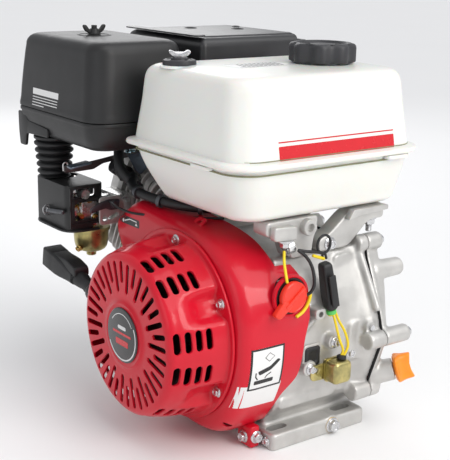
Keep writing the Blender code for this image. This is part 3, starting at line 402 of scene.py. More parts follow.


# material it stands for, name, colour, roughness, metallic, then tint and its scale, grain and its scale
FINISHES = {
    "cast": finish("cast", "cast_aluminium", (0.56, 0.55, 0.53), 0.44, 0.62, 0.10, 35, 0.55, 1400,
        rough_spread=0.08),
    "machined": finish("cast", "machined_aluminium", (0.72, 0.72, 0.71), 0.28, 0.95, 0.05, 60, 0.15, 2500),
    "steel": finish("steel", "zinc_steel", (0.62, 0.62, 0.63), 0.26, 0.95, 0.12, 200, 0.15, 1800),
    "shaft_steel": finish("steel", "ground_steel", (0.55, 0.55, 0.56), 0.2, 1, 0.04, 60, 0.08),
    "dark_steel": finish("iron", "dark_steel", (0.10, 0.105, 0.115), 0.38, 0.75, 0.2, 80, 0.2),
    "blue_steel": finish("iron", "coated_steel", (0.12, 0.15, 0.19), 0.30, 0.7, 0.15, 60, 0.12),
    "iron": finish("iron", "cast_iron", (0.16, 0.155, 0.15), 0.6, 0.6, 0.25, 90, 0.7, 900),
    "yellow_zinc": finish("zinc", "yellow_zinc", (0.50, 0.42, 0.17), 0.3, 0.9, 0.3, 70, 0.12,
        dark=(0.30, 0.27, 0.12)),
    "red_paint": finish("red_paint", "red_paint", (0.60, 0.006, 0.022), 0.30, 0, 0.04, 12, 0.05, 380,
        rough_spread=0.03, Coat_Weight=0.30, Coat_Roughness=0.06, Specular_IOR_Level=0.22),
    "black_paint": finish("black_paint", "heat_paint", (0.020, 0.020, 0.022), 0.36, 0, 0.15, 30, 0.25,
        700, Coat_Weight=0.15, Coat_Roughness=0.3),
    "black_plastic": finish("black_plastic", "moulded_plastic", (0.012, 0.012, 0.0125), 0.44, 0, 0.12,
        20, 0.35, 1500, rough_spread=0.05),
    "cap_plastic": finish("black_plastic", "cap_plastic", (0.030, 0.030, 0.034), 0.46, 0, 0.1, 40, 0.4,
        1200),
    "rubber": finish("rubber", "rubber", (0.010, 0.010, 0.011), 0.5, 0, 0.2, 60, 0.4, 700),
    "tank": finish("white_plastic", "tank_polyethylene", (0.82, 0.815, 0.77), 0.30, 0, 0.015, 8, 0.06,
        250, Subsurface_Weight=0.25, Subsurface_Scale=0.01, Coat_Weight=0.25, Coat_Roughness=0.12),
    "orange": finish("orange_plastic", "orange_plastic", (0.95, 0.27, 0.01), 0.34, 0, 0.04, 60, 0.15),
    "knob": finish("red_plastic", "knob_plastic", (0.80, 0.035, 0.015), 0.33, 0, 0.05, 60, 0.2, 900),
    "yellow": finish("yellow", "yellow_insulation", (0.83, 0.62, 0.01), 0.38, 0, 0.05),
    "green": finish("yellow", "green_sleeve", (0.10, 0.55, 0.12), 0.45, 0, 0.05),
    "brass": finish("zinc", "brass", (0.62, 0.42, 0.13), 0.28, 0.95, 0.12, 150, 0.1),
    "ceramic": finish("ceramic", "glazed_ceramic", (0.82, 0.82, 0.79), 0.12, 0, 0.02, Coat_Weight=0.5),
    "paper": finish("foam", "filter_paper", (0.60, 0.52, 0.36), 0.85, 0, 0.1, 300, 0.5),
    "label": finish("white_plastic", "label_film", (0.80, 0.80, 0.79), 0.33, 0, 0.01, 60, 0.05),
    "label_black": finish("black_plastic", "label_ink", (0.012, 0.012, 0.012), 0.3, 0, 0.05, 60, 0.05),
    "label_red": finish("red_plastic", "band_film", (0.62, 0.012, 0.02), 0.26, 0, 0.03, 60, 0.05,
        Coat_Weight=0.3),
    "lever_plastic": finish("iron", "lever_plastic", (0.055, 0.042, 0.042), 0.38, 0.1, 0.15, 80, 0.25,
        1100),
    "pale_blue": finish("zinc", "blue_passivated_steel", (0.42, 0.62, 0.70), 0.25, 0.85, 0.12, 150, 0.1),
    # dark olive lines beside the tank's flange: painted shade in the creases just above and below it
    "flange_shade": finish("white_plastic", "moulding_line", (0.22, 0.22, 0.12), 0.6, 0, 0.2, 120, 0.1),
    "badge": finish("black_paint", "badge_film", (0.012, 0.012, 0.013), 0.22, 0, 0.05, 60, 0.05,
        Coat_Weight=0.4),
    "silver": finish("steel", "silver_print", (0.72, 0.72, 0.72), 0.3, 0.6, 0.03),
}


def piece(shape, name, kind, body="engine", replaces=(), angle=38):
    """Name a finished shape or list of shapes, give it its material and make it ride on its body."""
    obj = joined(shape) if isinstance(shape, list) else shape
    material, slot_name = FINISHES[kind]
    obj.name = name
    obj.data.name = name
    obj.data.materials.clear()
    obj.data.materials.append(material)
    obj.data.shade_smooth()
    obj.data.set_sharp_from_angle(angle=radians(angle))
    if replaces:
        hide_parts(*replaces)
    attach(obj, body)
    return obj


# ---- fasteners
def hexagon(across, limit, count=36):
    """A hexagon's outline, its corners cut off beyond a limit."""
    points = []
    for i in range(count):
        a = 2 * pi * i / count
        corner = (degrees(a) + 30) % 60 - 30
        r = min(across / 2 / cos(radians(corner)), limit)
        points.append((r * cos(a), r * sin(a)))
    return points


def hex_bolt(start, direction, across=10, height=5.5, flange=7.5, washer=0):
    """A hex-head bolt whose seat is at start, with a flange and a dished crown."""
    where = aimed(start, direction)
    full = hexagon(across, across)
    rim = hexagon(across, across * 0.53)
    top = hexagon(across, across * 0.47)
    shapes = [loft([(circle(0, 0, flange, 36), -0.3), (circle(0, 0, flange, 36), 0.8),
        (circle(0, 0, flange * 0.86, 36), 1.6), (full, 1.9), (full, height - 1.1), (rim, height - 0.4),
        (top, height), (circle(0, 0, across * 0.33, 36), height), (circle(0, 0, across * 0.29, 36),
        height - 0.7)], where)]
    if washer:
        shapes.append(turned([(washer, -1.6), (washer, -0.4), (across * 0.3, -0.4), (across * 0.3, -1.6)],
            where, 36))
    return shapes


def hex_bolts(places, direction, *sizes):
    return [shape for place in places for shape in hex_bolt(place, direction, *sizes)]


def stud(start, direction, r, length):
    """A threaded stud end: shallow ridges along a rod."""
    where = aimed(start, direction)
    profile = []
    pitch = 1.25
    h = 0
    while h < length - pitch:
        profile += [(r - 0.45, h), (r, h + pitch / 2)]
        h += pitch
    profile += [(r - 0.3, length - 0.5), (r - 0.9, length)]
    rings = [[(q * cos(2 * pi * i / 20), q * sin(2 * pi * i / 20), z) for i in range(20)]
        for q, z in profile]
    return skin(rings, where)


# ---- recoil starter housing
ROPE_FRAME = aimed((-168, 48, CRANK_Z + 6), (0, cos(radians(9.5)), sin(radians(9.5))))
BOLT_CIRCLE = 100.6
POCKET_DEPTH = 10.5
BOLT_ANGLES = (31, 90, 151, 213, 272, 333)
VENT_ANGLES = (51, 71, 111, 132, 170, 193, 232, 253, 292, 313)


def drum_dent(r, x, a):
    """The drum's radius with a pocket sunk in over each mounting bolt."""
    if r < 88 or r > 107 or x > -122:
        return r
    depth = 0
    for bolt in BOLT_ANGLES:
        off = abs((degrees(a) - bolt + 180) % 360 - 180)
        along = smooth_step((x + 172) / 26)
        depth = max(depth, POCKET_DEPTH * along * (1 - smooth_step((off - 5.5) / 6)))
    return r - depth


def drum_wall():
    """The housing's section from the centre out over the rim and back inside."""
    f = DRUM_X
    outer = [(36, f - 2), (37.6, f - 1.7), (38.6, f - 0.8), (39.6, f), (45, f), (60, f), (75, f), (83, f)]
    outer += [(83 + 11.5 * sin(radians(q)), f + 9.5 - 9.5 * cos(radians(q)))
        for q in (15, 30, 45, 60, 75, 90)]
    outer += [(96.5, -178), (98.5, -171), (100.2, -163), (101.4, -155), (102.4, -147), (103, -140),
        (103.5, -133), (104, -128), (104.6, -125.6), (106, -124.3), (108, -124), (111, -124),
        (111.4, -123.6), (111.4, -121.4), (111, -121)]
    inner = [(101.5, -121), (101, -128), (100.6, -133), (100, -140), (99.6, -147), (98.6, -155),
        (97.4, -163), (95.8, -171), (93.6, -178)]
    inner += [(83 + 8.8 * sin(radians(q)), f + 9.5 - 7 * cos(radians(q))) for q in (90, 70, 50, 30, 10)]
    inner += [(75, f + 2.5), (60, f + 2.5), (45, f + 2.5), (38, f + 2.5), (36, f + 0.6)]
    return outer + inner


def recoil_housing():
    shell = turned(drum_wall()[::-1], frame_x(), 180, "joined", drum_dent)
    disc = loft([(circle(0, 0, 36.6, 72), DRUM_X - 1.95), (circle(0, 0, 36.6, 72), DRUM_X + 2.4)],
        frame_x())
    hub = rod(9, DRUM_X + 1, DRUM_X + 20, frame_x())
    radial = []
    for i in range(36):
        a = 10 * (i + 0.5)
        inner_r, outer_r = (49, 84.5) if i % 2 else (60, 85.5)
        middle = (inner_r + outer_r) / 2
        radial.append(slot(middle * cos(radians(a)), middle * sin(radians(a)), outer_r - inner_r, 6.2, a,
            5))
    vents = []
    for a in VENT_ANGLES:
        out = Vector((0, cos(radians(a)), sin(radians(a))))
        across = Vector((0, -sin(radians(a)), cos(radians(a))))
        where = Matrix((Vector((1, 0, 0)), across, out)).transposed().to_4x4()
        where = frame_z(0, 0, CRANK_Z) @ where
        vents.append(plates([slot(-184 + 12.2 * k, 0, 23.5, 8.2, 90, 5) for k in range(4)], 80, 112, where))
    outlet = turned([(13, 48), (13, 63), (12.4, 65.6), (11, 66.8), (7.4, 66.8), (6.8, 65.8), (6.8, 48)],
        ROPE_FRAME, 40)
    shell = bevelled(cut(union(shell, disc, hub), plates(radial, DRUM_X - 6, DRUM_X + 6, frame_x()), *vents,
        rod(10, 20, 80, ROPE_FRAME, 32)), 0.7, 2, 48)
    piece(shell, "recoil_cover", "red_paint", replaces=("recoil_housing",), angle=50)
    piece(outlet, "rope_outlet", "black_plastic")


def badge():
    f = DRUM_X - 2.3
    piece(turned([(0.2, f - 1.1), (30.6, f - 1.1), (31.4, f - 0.9), (31.9, f - 0.3), (31.9, f + 0.1),
        (0.2, f + 0.1)], frame_x(), 96, "caps"), "badge_disc", "badge", replaces=("centre_badge",))
    ring = [(29.6 * cos(a), 29.6 * sin(a)) for a in [radians(q) for q in range(150, 335, 4)]]
    ring += [(27.9 * cos(a), 27.9 * sin(a)) for a in [radians(q) for q in range(334, 149, -4)]]
    bars = [arc(0, 0, 25.5, 35, 145, 22) + arc(0, 0, 24.6, 145, 35, 22), slot(0, 9, 17, 4.2, 0, 8)]
    piece(plates([ring] + bars, f - 1.35, f - 1, frame_x()), "badge_print", "silver")
    red = [rounded_box(-19, 0.6, 19, 3.4, 0.8, 3), rounded_box(-13, -12, 13, -5, 1.2, 3)]
    piece(plates(red, f - 1.35, f - 1, frame_x()), "badge_red_bars", "label_red")


def grip():
    where = ROPE_FRAME
    sections = [(circle(0, 0, 8.2, 28), 67.6), (circle(0, 0, 9.2, 28), 68.8), (circle(0, 0, 9.2, 28), 77),
        (circle(0, 0, 8.4, 28), 78), (circle(0, 0, 8.4, 28), 84), (circle(0, 0, 9.6, 28), 92),
        (circle(0, 0, 10.6, 28), 100)]
    for k in range(8):
        t = smooth_step(k / 7)
        half = 11 + 2 * t
        sections.append((rounded_box(-half, -half + 0.4, half, half - 0.4, 8 - 5.4 * t), 106 + 44 * k / 7))
    sections += [(rounded_box(-13, -12.5, 13, 12.5, 2.6), 156), (rounded_box(-13.2, -12.7, 13.2, 12.7, 2.6),
        157.4), (rounded_box(-13.2, -12.7, 13.2, 12.7, 2.6), 176), (rounded_box(-12.4, -12, 12.4, 12, 2.4),
        177.6), (rounded_box(-11, -10.6, 11, 10.6, 2), 178), (rounded_box(-7, -6.6, 7, 6.6, 2), 178),
        (rounded_box(-6, -5.6, 6, 5.6, 2), 175)]
    handle = loft(sections, where)
    wing = bevelled(sheet([(96, 4), (158, 4), (158, 13), (120, 17.5), (99, 15.5)], 5, -10.2, 10.2,
        where @ Matrix(((0, 0, 1), (0, 1, 0), (1, 0, 0))).to_4x4(), 6), 3, 4)
    piece([handle, wing], "pull_handle", "rubber", "grip", ("pull_grip",))
    rope = [(2.3 + 0.35 * (i % 2), -5 + 1.3 * i) for i in range(82)]
    rings = [[(r * cos(2 * pi * k / 14 + i * 0.35), r * sin(2 * pi * k / 14 + i * 0.35), h)
        for k in range(14)] for i, (r, h) in enumerate(rope)]
    piece(skin(rings, where), "pull_rope", "paper", "grip", ("starter_rope",))


def housing_bolts():
    shapes = []
    for a in BOLT_ANGLES:
        place = (-124, BOLT_CIRCLE * cos(radians(a)), CRANK_Z + BOLT_CIRCLE * sin(radians(a)))
        shapes += hex_bolt(place, (-1, 0, 0), 8, 5, 6.4)
    piece(shapes, "recoil_cover_bolts", "steel")


# ---- fan shroud
SHROUD_POINTS = [(-60, 12), (0, 10), (60, 22), (95, 50), (113, 90), (119, 130), (126, 175), (151, 226),
    (106, 257), (40, 252), (-30, 246), (-74, 236), (-104, 212), (-121, 178), (-126, 140), (-124, 100),
    (-110, 60), (-90, 28)]
SHROUD_EDGE = [(-60, 246), (-38, 214), (-22, 180), (-27.5, 156), (-34.5, 134), (-38.5, 88), (-56, 68),
    (-62, 44)]
SWITCH_X, SWITCH_Z = -58, 189
SWITCH_Y = -122
SWITCH_FRAME = frame_y(SWITCH_X, SWITCH_Y, SWITCH_Z)


def shroud_outline():
    """The shroud's closed outline: crisp bends at the rear top, round everywhere else."""
    centre = Vector((0, CRANK_Z))
    count = len(SHROUD_POINTS)
    out = []
    for i, corner in enumerate(SHROUD_POINTS):
        corner = Vector(corner)
        before = Vector(SHROUD_POINTS[i - 1]) - corner
        after = Vector(SHROUD_POINTS[(i + 1) % count]) - corner
        reach = 0.22 if corner.y > 220 and corner.x > 90 else 0.5
        near, far = corner + before * reach, corner + after * reach
        for k in range(6):
            t = k / 6
            out.append(near * (1 - t) ** 2 + corner * 2 * t * (1 - t) + far * t * t - centre)
    return [Vector(p) for p in evenly(out, 220)]


def shroud_ring(outline, x, inset):
    """One section of the shroud; the side wall swells slightly round the switch."""
    ring = []
    for p in outline:
        q = p * (1 - inset / p.length)
        y, z = q.x, q.y + CRANK_Z
        if y < -60:
            near = sqrt((x - SWITCH_X) ** 2 + (z - SWITCH_Z) ** 2)
            y -= 4.5 * (1 - smooth_step((near - 20) / 24))
        ring.append((x, y, z))
    return ring


def fan_shroud():
    outline = shroud_outline()
    f = SHROUD_X
    bend = [(f, 17), (f + 0.5, 12.5), (f + 2, 8.6), (f + 4.6, 5.4), (f + 8.5, 2.8), (f + 14, 1),
        (f + 20, 0.2), (f + 26, 0)]
    wall = [(x, 0) for x in range(-88, -28, 6)] + [(-27, 0)]
    thick = 2.4
    mouth = [99 / p.length for p in outline]

    def mouth_ring(x):
        return [(x, p.x * m, p.y * m + CRANK_Z) for p, m in zip(outline, mouth)]

    outside = [mouth_ring(f)] + [shroud_ring(outline, x, inset) for x, inset in bend + wall]
    inside = [shroud_ring(outline, max(x, f + thick), inset + thick) for x, inset in reversed(bend + wall)]
    shell = skin(outside + inside + [mouth_ring(f + thick)], ends="joined")
    rear = [block((-61, -100.5, -10), (0, 200, 320)), block((-73.5, 50, -10), (0, 200, 320)),
        block((-69, -200, -10), (0, 200, 30))]
    edge = [(-62, 262)] + softened(SHROUD_EDGE, 9, 5, False) + [(-62, 5), (0, 5), (0, 300), (-62, 300)]
    trim = plates([edge], 80, 160, frame_y())
    seat = rod(21.5, 0.5, 20, SWITCH_FRAME, 64)
    hole = rod(17.5, -30, 30, SWITCH_FRAME, 48)
    rear_hole = rod(3.4, -140, -100, frame_x(0, -88, 36))
    cut(shell, *rear, trim, seat, hole, rear_hole)
    piece(shell, "cooling_shroud", "red_paint", replaces=("fan_shroud",), angle=42)
    piece(turned([(20.8, -3), (20.8, 0.6), (21.6, 1.3), (23.6, 1.5), (24.2, 0.2), (24.2, -3)],
        frame_y(SWITCH_X, SWITCH_Y - 4, SWITCH_Z), 64), "switch_seat_rim", "red_paint")
    piece(bevelled(block((-84, -96, 0.8), (-71, -70, 27)), 2.5, 3), "shroud_foot", "red_paint")
    tab_frame = aimed((-101, -2, 243), (-0.55, 0, 0.8))
    tab = cut(sheet([(-9, 0), (9, 0), (9, 17), (-9, 17)], 5, 0, 2.2, tab_frame),
        rod(3.6, -3, 6, tab_frame @ frame_z(0, 9.5, 0)))
    piece(bevelled(tab, 0.5), "shroud_tab", "red_paint")
    bolts = hex_bolt((-84, -83, 12), (-1, 0, 0), 10, 6, 7.5) + hex_bolt((-119.6, 104, 58), (-1, 0, 0), 8, 5,
        6.4)
    bolts += hex_bolt((-76.5, -96, 14), (0, -1, 0), 10, 6, 7.5)
    piece(bolts, "shroud_bolts", "steel")


def switch():
    where = SWITCH_FRAME
    ring = turned([(16.6, -8), (16.6, 3.2), (18.2, 4.4), (20.2, 4.4), (20.8, 3.6), (20.8, 0.8), (17.2, 0.8),
        (17.2, -8)], where, 64)
    core = turned([(0.2, -8), (0.2, 4.3), (15.9, 4.3), (16.4, 3.2), (16.4, -8)][::-1], where, 64, "caps")
    piece([ring, core], "switch_housing", "black_plastic", replaces=("switch_body",))
    knob = loft([(circle(0, 0, 16.6, 64), 4.9), (circle(0, 0, 17.4, 64), 5.6),
        (circle(0, 0, 17.4, 64), 10.4), (circle(0, 0, 16.8, 64), 11.3), (circle(0, 0, 15.6, 64), 11.7),
        (circle(0, 0, 14.9, 64), 11.3), (circle(0, 0, 14.4, 64), 11.1)], where)
    tail = bevelled(sheet([(-2, -9), (-20, -22.5), (-28, -17), (-13, 0)], 4, 5.2, 12.2, where, 6), 1.2, 3)
    turn = Matrix.Rotation(radians(38), 4, "Z")
    bar = bevelled(block((-15.5, -1.5, 9), (15.5, 1.5, 13), where @ turn), 0.7)
    piece([knob, tail, bar], "switch_knob_detail", "knob", "switch", ("switch_knob",))


# ---- fuel tank
CAP_X, CAP_Y = 63, -24
CAP_AXIS = frame_z(CAP_X, CAP_Y)
GAUGE_X, GAUGE_Y = -94, 36


def corner_box(x0, y0, x1, y1, r, rear, steps):
    """A rounded box whose two +Y corners have a radius of their own."""
    corners = ((x1 - r, y0 + r, r, -90), (x1 - rear, y1 - rear, rear, 0), (x0 + rear, y1 - rear, rear, 90),
        (x0 + r, y0 + r, r, 180))
    return [p for cx, cy, radius, start in corners for p in arc(cx, cy, radius, start, start + 90, steps)]


def tank_section(dx0, dx1, dy0, dy1, r):
    return corner_box(-138 + dx0, -129 + dy0, 144 - dx1, 100 - dy1, r, r * 0.46, 9)


def tank_shell(keys):
    """Sections through the tank's keys (insets, corner radius, height), blended smoothly."""
    return [(tank_section(*key[:5]), key[5]) for key in smooth_route(keys, 4)]


def fuel_tank():
    lower = [(46, 36, 42, 70, 20, 268.2), (36, 27, 32, 60, 24, 269.4), (27, 20, 23.5, 50, 28, 274),
        (22, 18, 20, 43, 30, 283), (15, 13, 13, 24, 34, 305), (11.5, 11, 10, 13.5, 34, 322),
        (10, 10, 9, 11, 34, 330.6)]
    upper = [(9, 9, 9, 9, 34, 338.6), (11.5, 10.5, 13, 11.6, 34, 360), (14.4, 12.4, 17.4, 14.6, 33, 382),
        (16.6, 14, 20.6, 16.4, 32, 403), (17.8, 15.2, 22.2, 17.6, 31, 411.6), (20.6, 18, 25, 20, 29, 418.2),
        (25.4, 22.6, 29.6, 24.6, 26, 422.6), (32, 29, 37, 31, 22, 424.8), (46, 41, 51, 45, 18, 426)]
    rim = [(4, 4, 4, 4, 38, 331.2), (1.2, 1.2, 1.2, 1.2, 39.4, 331.4), (0.3, 0.3, 0.3, 0.3, 40, 332.4),
        (0, 0, 0, 0, 40, 334), (0.3, 0.3, 0.3, 0.3, 40, 335.6), (1.4, 1.4, 1.4, 1.4, 39, 336.8),
        (5, 5, 5, 5, 37, 337.4)]
    outer = tank_shell(lower) + [(tank_section(*key[:5]), key[5]) for key in rim] + tank_shell(upper)
    inner = [(tank_section(50, 40, 46, 74, 16), 272), (tank_section(27, 23, 25, 50, 26), 286),
        (tank_section(15, 15, 14, 18, 30), 331), (tank_section(23, 20, 27, 23, 28), 400),
        (tank_section(34, 30, 40, 35, 22), 416), (tank_section(50, 44, 55, 51, 16), 421)]
    tank = cut(loft(outer), loft(inner))
    neck = turned([(26.2, 419), (36, 422), (33.5, 425.4), (30.5, 426.6), (27.4, 427.6), (27.1, 429),
        (27.1, 437.4), (26.4, 438), (23.6, 438), (23.2, 437.4), (23.2, 419)], CAP_AXIS, 56)
    cut(tank, rod(24, 400, 445, CAP_AXIS, 56))
    threads = [turned([(27.1, h), (28, h + 0.7), (28, h + 1.3), (27.1, h + 2), (26, h + 2), (26, h)],
        CAP_AXIS, 56) for h in (430, 433.4)]
    seat = turned([(0.2, 422), (25.6, 422.4), (24, 424.6), (22.4, 425.2), (0.2, 425.2)],
        frame_z(GAUGE_X, GAUGE_Y, 0), 56, "caps")
    piece([tank, neck, seat] + threads, "tank_shell", "tank", replaces=("fuel_tank",), angle=34)
    tabs = []
    for x, y, turn in ((92, -123.6, 0), (-104, 92.4, 180), (100, 92.4, 180), (-131.6, -60, -90)):
        where = frame_z(x, y, 0) @ Matrix.Rotation(radians(turn), 4, "Z")
        tabs.append(sheet([(-16, 4), (-16, -7), (16, -7), (16, 4)], 5, 326.6, 330.6, where))
    tabs = bevelled(joined(tabs), 0.8)
    piece(tabs, "tank_ears", "tank")
    # dark olive lines just below and above the flange rim: painted shade where the flange meets the tank's
    # body
    flange_shade = []
    for low, high in ((324.6, 326), (339.2, 340.2)):
        grow = -1 if low < 330 else 0
        outline = tank_section(10 + grow, 9.5 + grow, 8.6 + grow, 10.4 + grow, 34)
        inside = tank_section(16, 16, 16, 20, 28)
        flange_shade.append(skin([[(x, y, low) for x, y in outline], [(x, y, high) for x, y in outline],
            [(x, y, high) for x, y in inside], [(x, y, low) for x, y in inside]], ends="joined"))
    piece(flange_shade, "tank_flange_shade_lines", "flange_shade")


def fuel_cap():
    where = CAP_AXIS

    def knurled(r, h, a):
        if r < 34 or h < 428.4:
            return r
        return r - 0.6 + 2.5 * cos(8 * a) - 0.5 * abs(cos(4 * a)) ** 14

    profile = [(29, 428), (36.4, 427.6), (37.6, 428.6), (38, 430.5), (38, 444.5), (37.4, 447),
        (35.8, 448.8), (33.4, 449.7), (31, 449.9), (29.4, 449.2), (28.6, 447.8), (27.4, 447.2), (15, 447),
        (12.4, 447.3), (11.4, 448), (10.4, 448.3), (0.3, 448.4), (0.3, 443), (26, 443), (28.7, 440),
        (28.7, 428.4)]
    piece(turned(profile, where, 128, "joined", knurled), "fuel_cap_body", "cap_plastic", "tank_cap",
        ("fuel_cap",), 40)
    marks = [block((-1.2, 17, 447), (1.2, 25, 447.9), where @ Matrix.Rotation(radians(a), 4, "Z"))
        for a in (20, 140, 260)]
    marks = bevelled(joined(marks), 0.4)
    piece(marks, "fuel_cap_ribs", "cap_plastic", "tank_cap")


def fuel_gauge():
    where = frame_z(GAUGE_X - 3, GAUGE_Y + 1, 0)
    piece(turned([(0.3, 425.2), (19.2, 425.2), (19.4, 427.6), (18.8, 430.4), (17.2, 431.2), (14.6, 431.4),
        (14, 430.6), (10, 430.4), (9.4, 433), (8.6, 433.6), (0.3, 433.8)], where, 64, "caps"), "gauge_body",
        "cap_plastic", replaces=("fuel_gauge",))
    turn = where @ Matrix.Rotation(radians(-24), 4, "Z")
    bow = bevelled(sheet([(-4, 432.6), (4, 432.6), (9, 435), (13, 439.6), (10.6, 442), (6, 440), (3, 438.2),
        (-3, 438.2), (-6, 440), (-10.6, 442), (-13, 439.6), (-9, 435)], 2, -3.2, 3.2,
        turn @ Matrix.Rotation(radians(90), 4, "X"), 4), 1.2, 3)
    pin = rod(3, -8, 8, turn @ frame_x(0, 0, 437), 24)
    piece([bow, pin], "gauge_bow", "steel")


# ---- air cleaner
FILTER_TOP_Z = 446
STUD_X, STUD_Y = -110, 208
STUD_AXIS = frame_z(STUD_X, STUD_Y)
CARB_X, CARB_Y, CARB_Z = -118, 208, 226
CARB_AXIS = frame_x(0, CARB_Y, CARB_Z)
BOWL_AXIS = frame_z(CARB_X, CARB_Y)
DUCT_X, DUCT_Y = -132, 254


def filter_section(inset, r):
    return corner_box(-172.5 + inset, 100 + inset, -30 - inset, 306 - inset, r, max(r * 0.6, 4), 10)


def filter_shell(keys):
    return [(filter_section(inset, r), h) for inset, r, h in keys]


def air_cleaner_cover():
    keys = [(0.4, 30, 352.4), (-0.4, 30, 353), (-0.4, 30, 357), (0, 30, 359), (0.9, 29, 364), (2, 28, 378),
        (4.2, 28, 402), (6.6, 27, 423), (7.6, 27, 430)]
    keys += [(7.6 + 15 - 15 * cos(radians(q)), 26 - 8 * sin(radians(q)) ** 2, 430 + 15 * sin(radians(q)))
        for q in (15, 30, 45, 60, 75)]
    keys += [(22.6, 18, 445.2), (34, 12, 445.9)]
    inner = [(2.4, 28, 350), (2.6, 28, 358), (7, 26, 370), (9.6, 25, 428), (16, 20, 438), (24, 16, 442.6)]
    cover = cut(loft(filter_shell(keys)), loft(filter_shell(inner)), rod(4.5, 430, 455, STUD_AXIS))
    dish = turned([(4.6, 445.2), (17.6, 445.2), (19, 446.6), (20.6, 446.6), (22.4, 445), (22.4, 443),
        (4.6, 443)], STUD_AXIS, 56)
    piece([cover, dish], "filter_cover", "black_plastic", "air_cover", ("air_cleaner_cover",), 32)


def air_cleaner_base():
    keys = [(42, 10, 316), (20, 18, 316.2), (14, 20, 317.4), (9, 22, 320), (5, 25, 325), (2.6, 27, 334),
        (1.4, 28, 344), (0.9, 29, 350), (0.4, 29.6, 351.4)]
    inner = [(44, 10, 319), (22, 17, 319.6), (12, 20, 324), (7, 24, 332), (4.6, 26, 344), (3.6, 27, 355)]
    base = cut(loft(filter_shell(keys)), loft(filter_shell(inner)), rod(20, 300, 325,
        frame_z(DUCT_X, DUCT_Y, 0)))
    rim = skin([[(x, y, h) for x, y in filter_section(inset, 30)] for inset, h in ((0.2, 346.8),
        (-0.2, 347.6), (-0.2, 350.4), (0.4, 351.6), (4, 351.6), (4, 346.8))], ends="joined")
    post = rod(3.5, 318, 458, STUD_AXIS, 20)
    hang = [(304, 344), (303, 318), (300, 300), (285, 300), (281, 317), (222, 319), (222, 330), (276, 334),
        (284, 344)]
    skirt = bevelled(sheet(hang, 3, -170.6, -166.6, frame_x(0, 0, 0), 4), 0.8)
    piece([base, rim, post], "filter_base", "black_plastic", replaces=("air_cleaner_base",), angle=34)
    piece(skirt, "filter_base_skirt", "black_plastic")


def wing_nut():
    where = STUD_AXIS
    hub = turned([(9, 446.7), (9, 447.8), (6.6, 448.4), (5.8, 451), (5.2, 453.4), (4.4, 454), (4.3, 454),
        (4.3, 446.7)], where, 40)
    wing = [(3, 1.4), (8, 1.8), (12.6, 4.8), (15.8, 10.2), (14.8, 12.6), (11.6, 12.2), (8, 7.2), (3, 6)]
    wings = bevelled(plates([softened(wing, 2, 6), softened([(-x, y) for x, y in wing], 2, 6)], -1.9, 1.9,
        frame_y(STUD_X, STUD_Y, FILTER_TOP_Z + 0.3)), 1.1, 3)
    piece([hub, wings], "filter_nut", "black_plastic", "cover_nut", ("wing_nut",))


def filter_element():
    """The paper filter: a pleated ring between two soft end rings."""
    count = 240
    centre = Vector((-101, 200))
    outer = evenly(filter_section(28, 20), count)
    ring = []
    for i, p in enumerate(outer):
        inward = (centre - Vector(p)).normalized()
        ring.append(tuple(Vector(p) + inward * (0 if i % 2 else 9)))
    inside = [tuple(Vector(p) + (centre - Vector(p)).normalized() * 12) for p in outer]
    piece(skin([[(x, y, 336) for x, y in ring], [(x, y, 418) for x, y in ring],
        [(x, y, 418) for x, y in inside], [(x, y, 336) for x, y in inside]], ends="joined"),
        "filter_pleats", "paper", replaces=("filter_element",), angle=20)
    ends = []
    for low in (330, 417):
        rings = [(27.5, low), (27, low + 1), (27, low + 6), (27.5, low + 7), (43.5, low + 7), (44, low + 6),
            (44, low + 1), (43.5, low)]
        ends.append(skin([[(x, y, h) for x, y in filter_section(inset, 16)] for inset, h in rings],
            ends="joined"))
    piece(ends, "filter_end_rings", "rubber")


def intake_duct():
    where = frame_z(DUCT_X - 12, DUCT_Y + 2, 0)
    profile = [(17, 262.6), (20, 262.6), (21, 263.4)]
    for i in range(5):
        h = 265.6 + i * 9.2
        r = 20.4 + 0.9 * i
        profile += [(r - 2.4, h), (r + 0.4, h + 1.6), (r + 1.8, h + 3), (r + 1.8, h + 5),
            (r + 0.4, h + 6.4), (r - 2.4, h + 7.8)]
    profile += [(25, 312), (26, 313), (26, 315.6), (17, 315.6)]
    piece(turned(profile, where, 56), "intake_bellows", "rubber", replaces=("intake_duct",), angle=60)


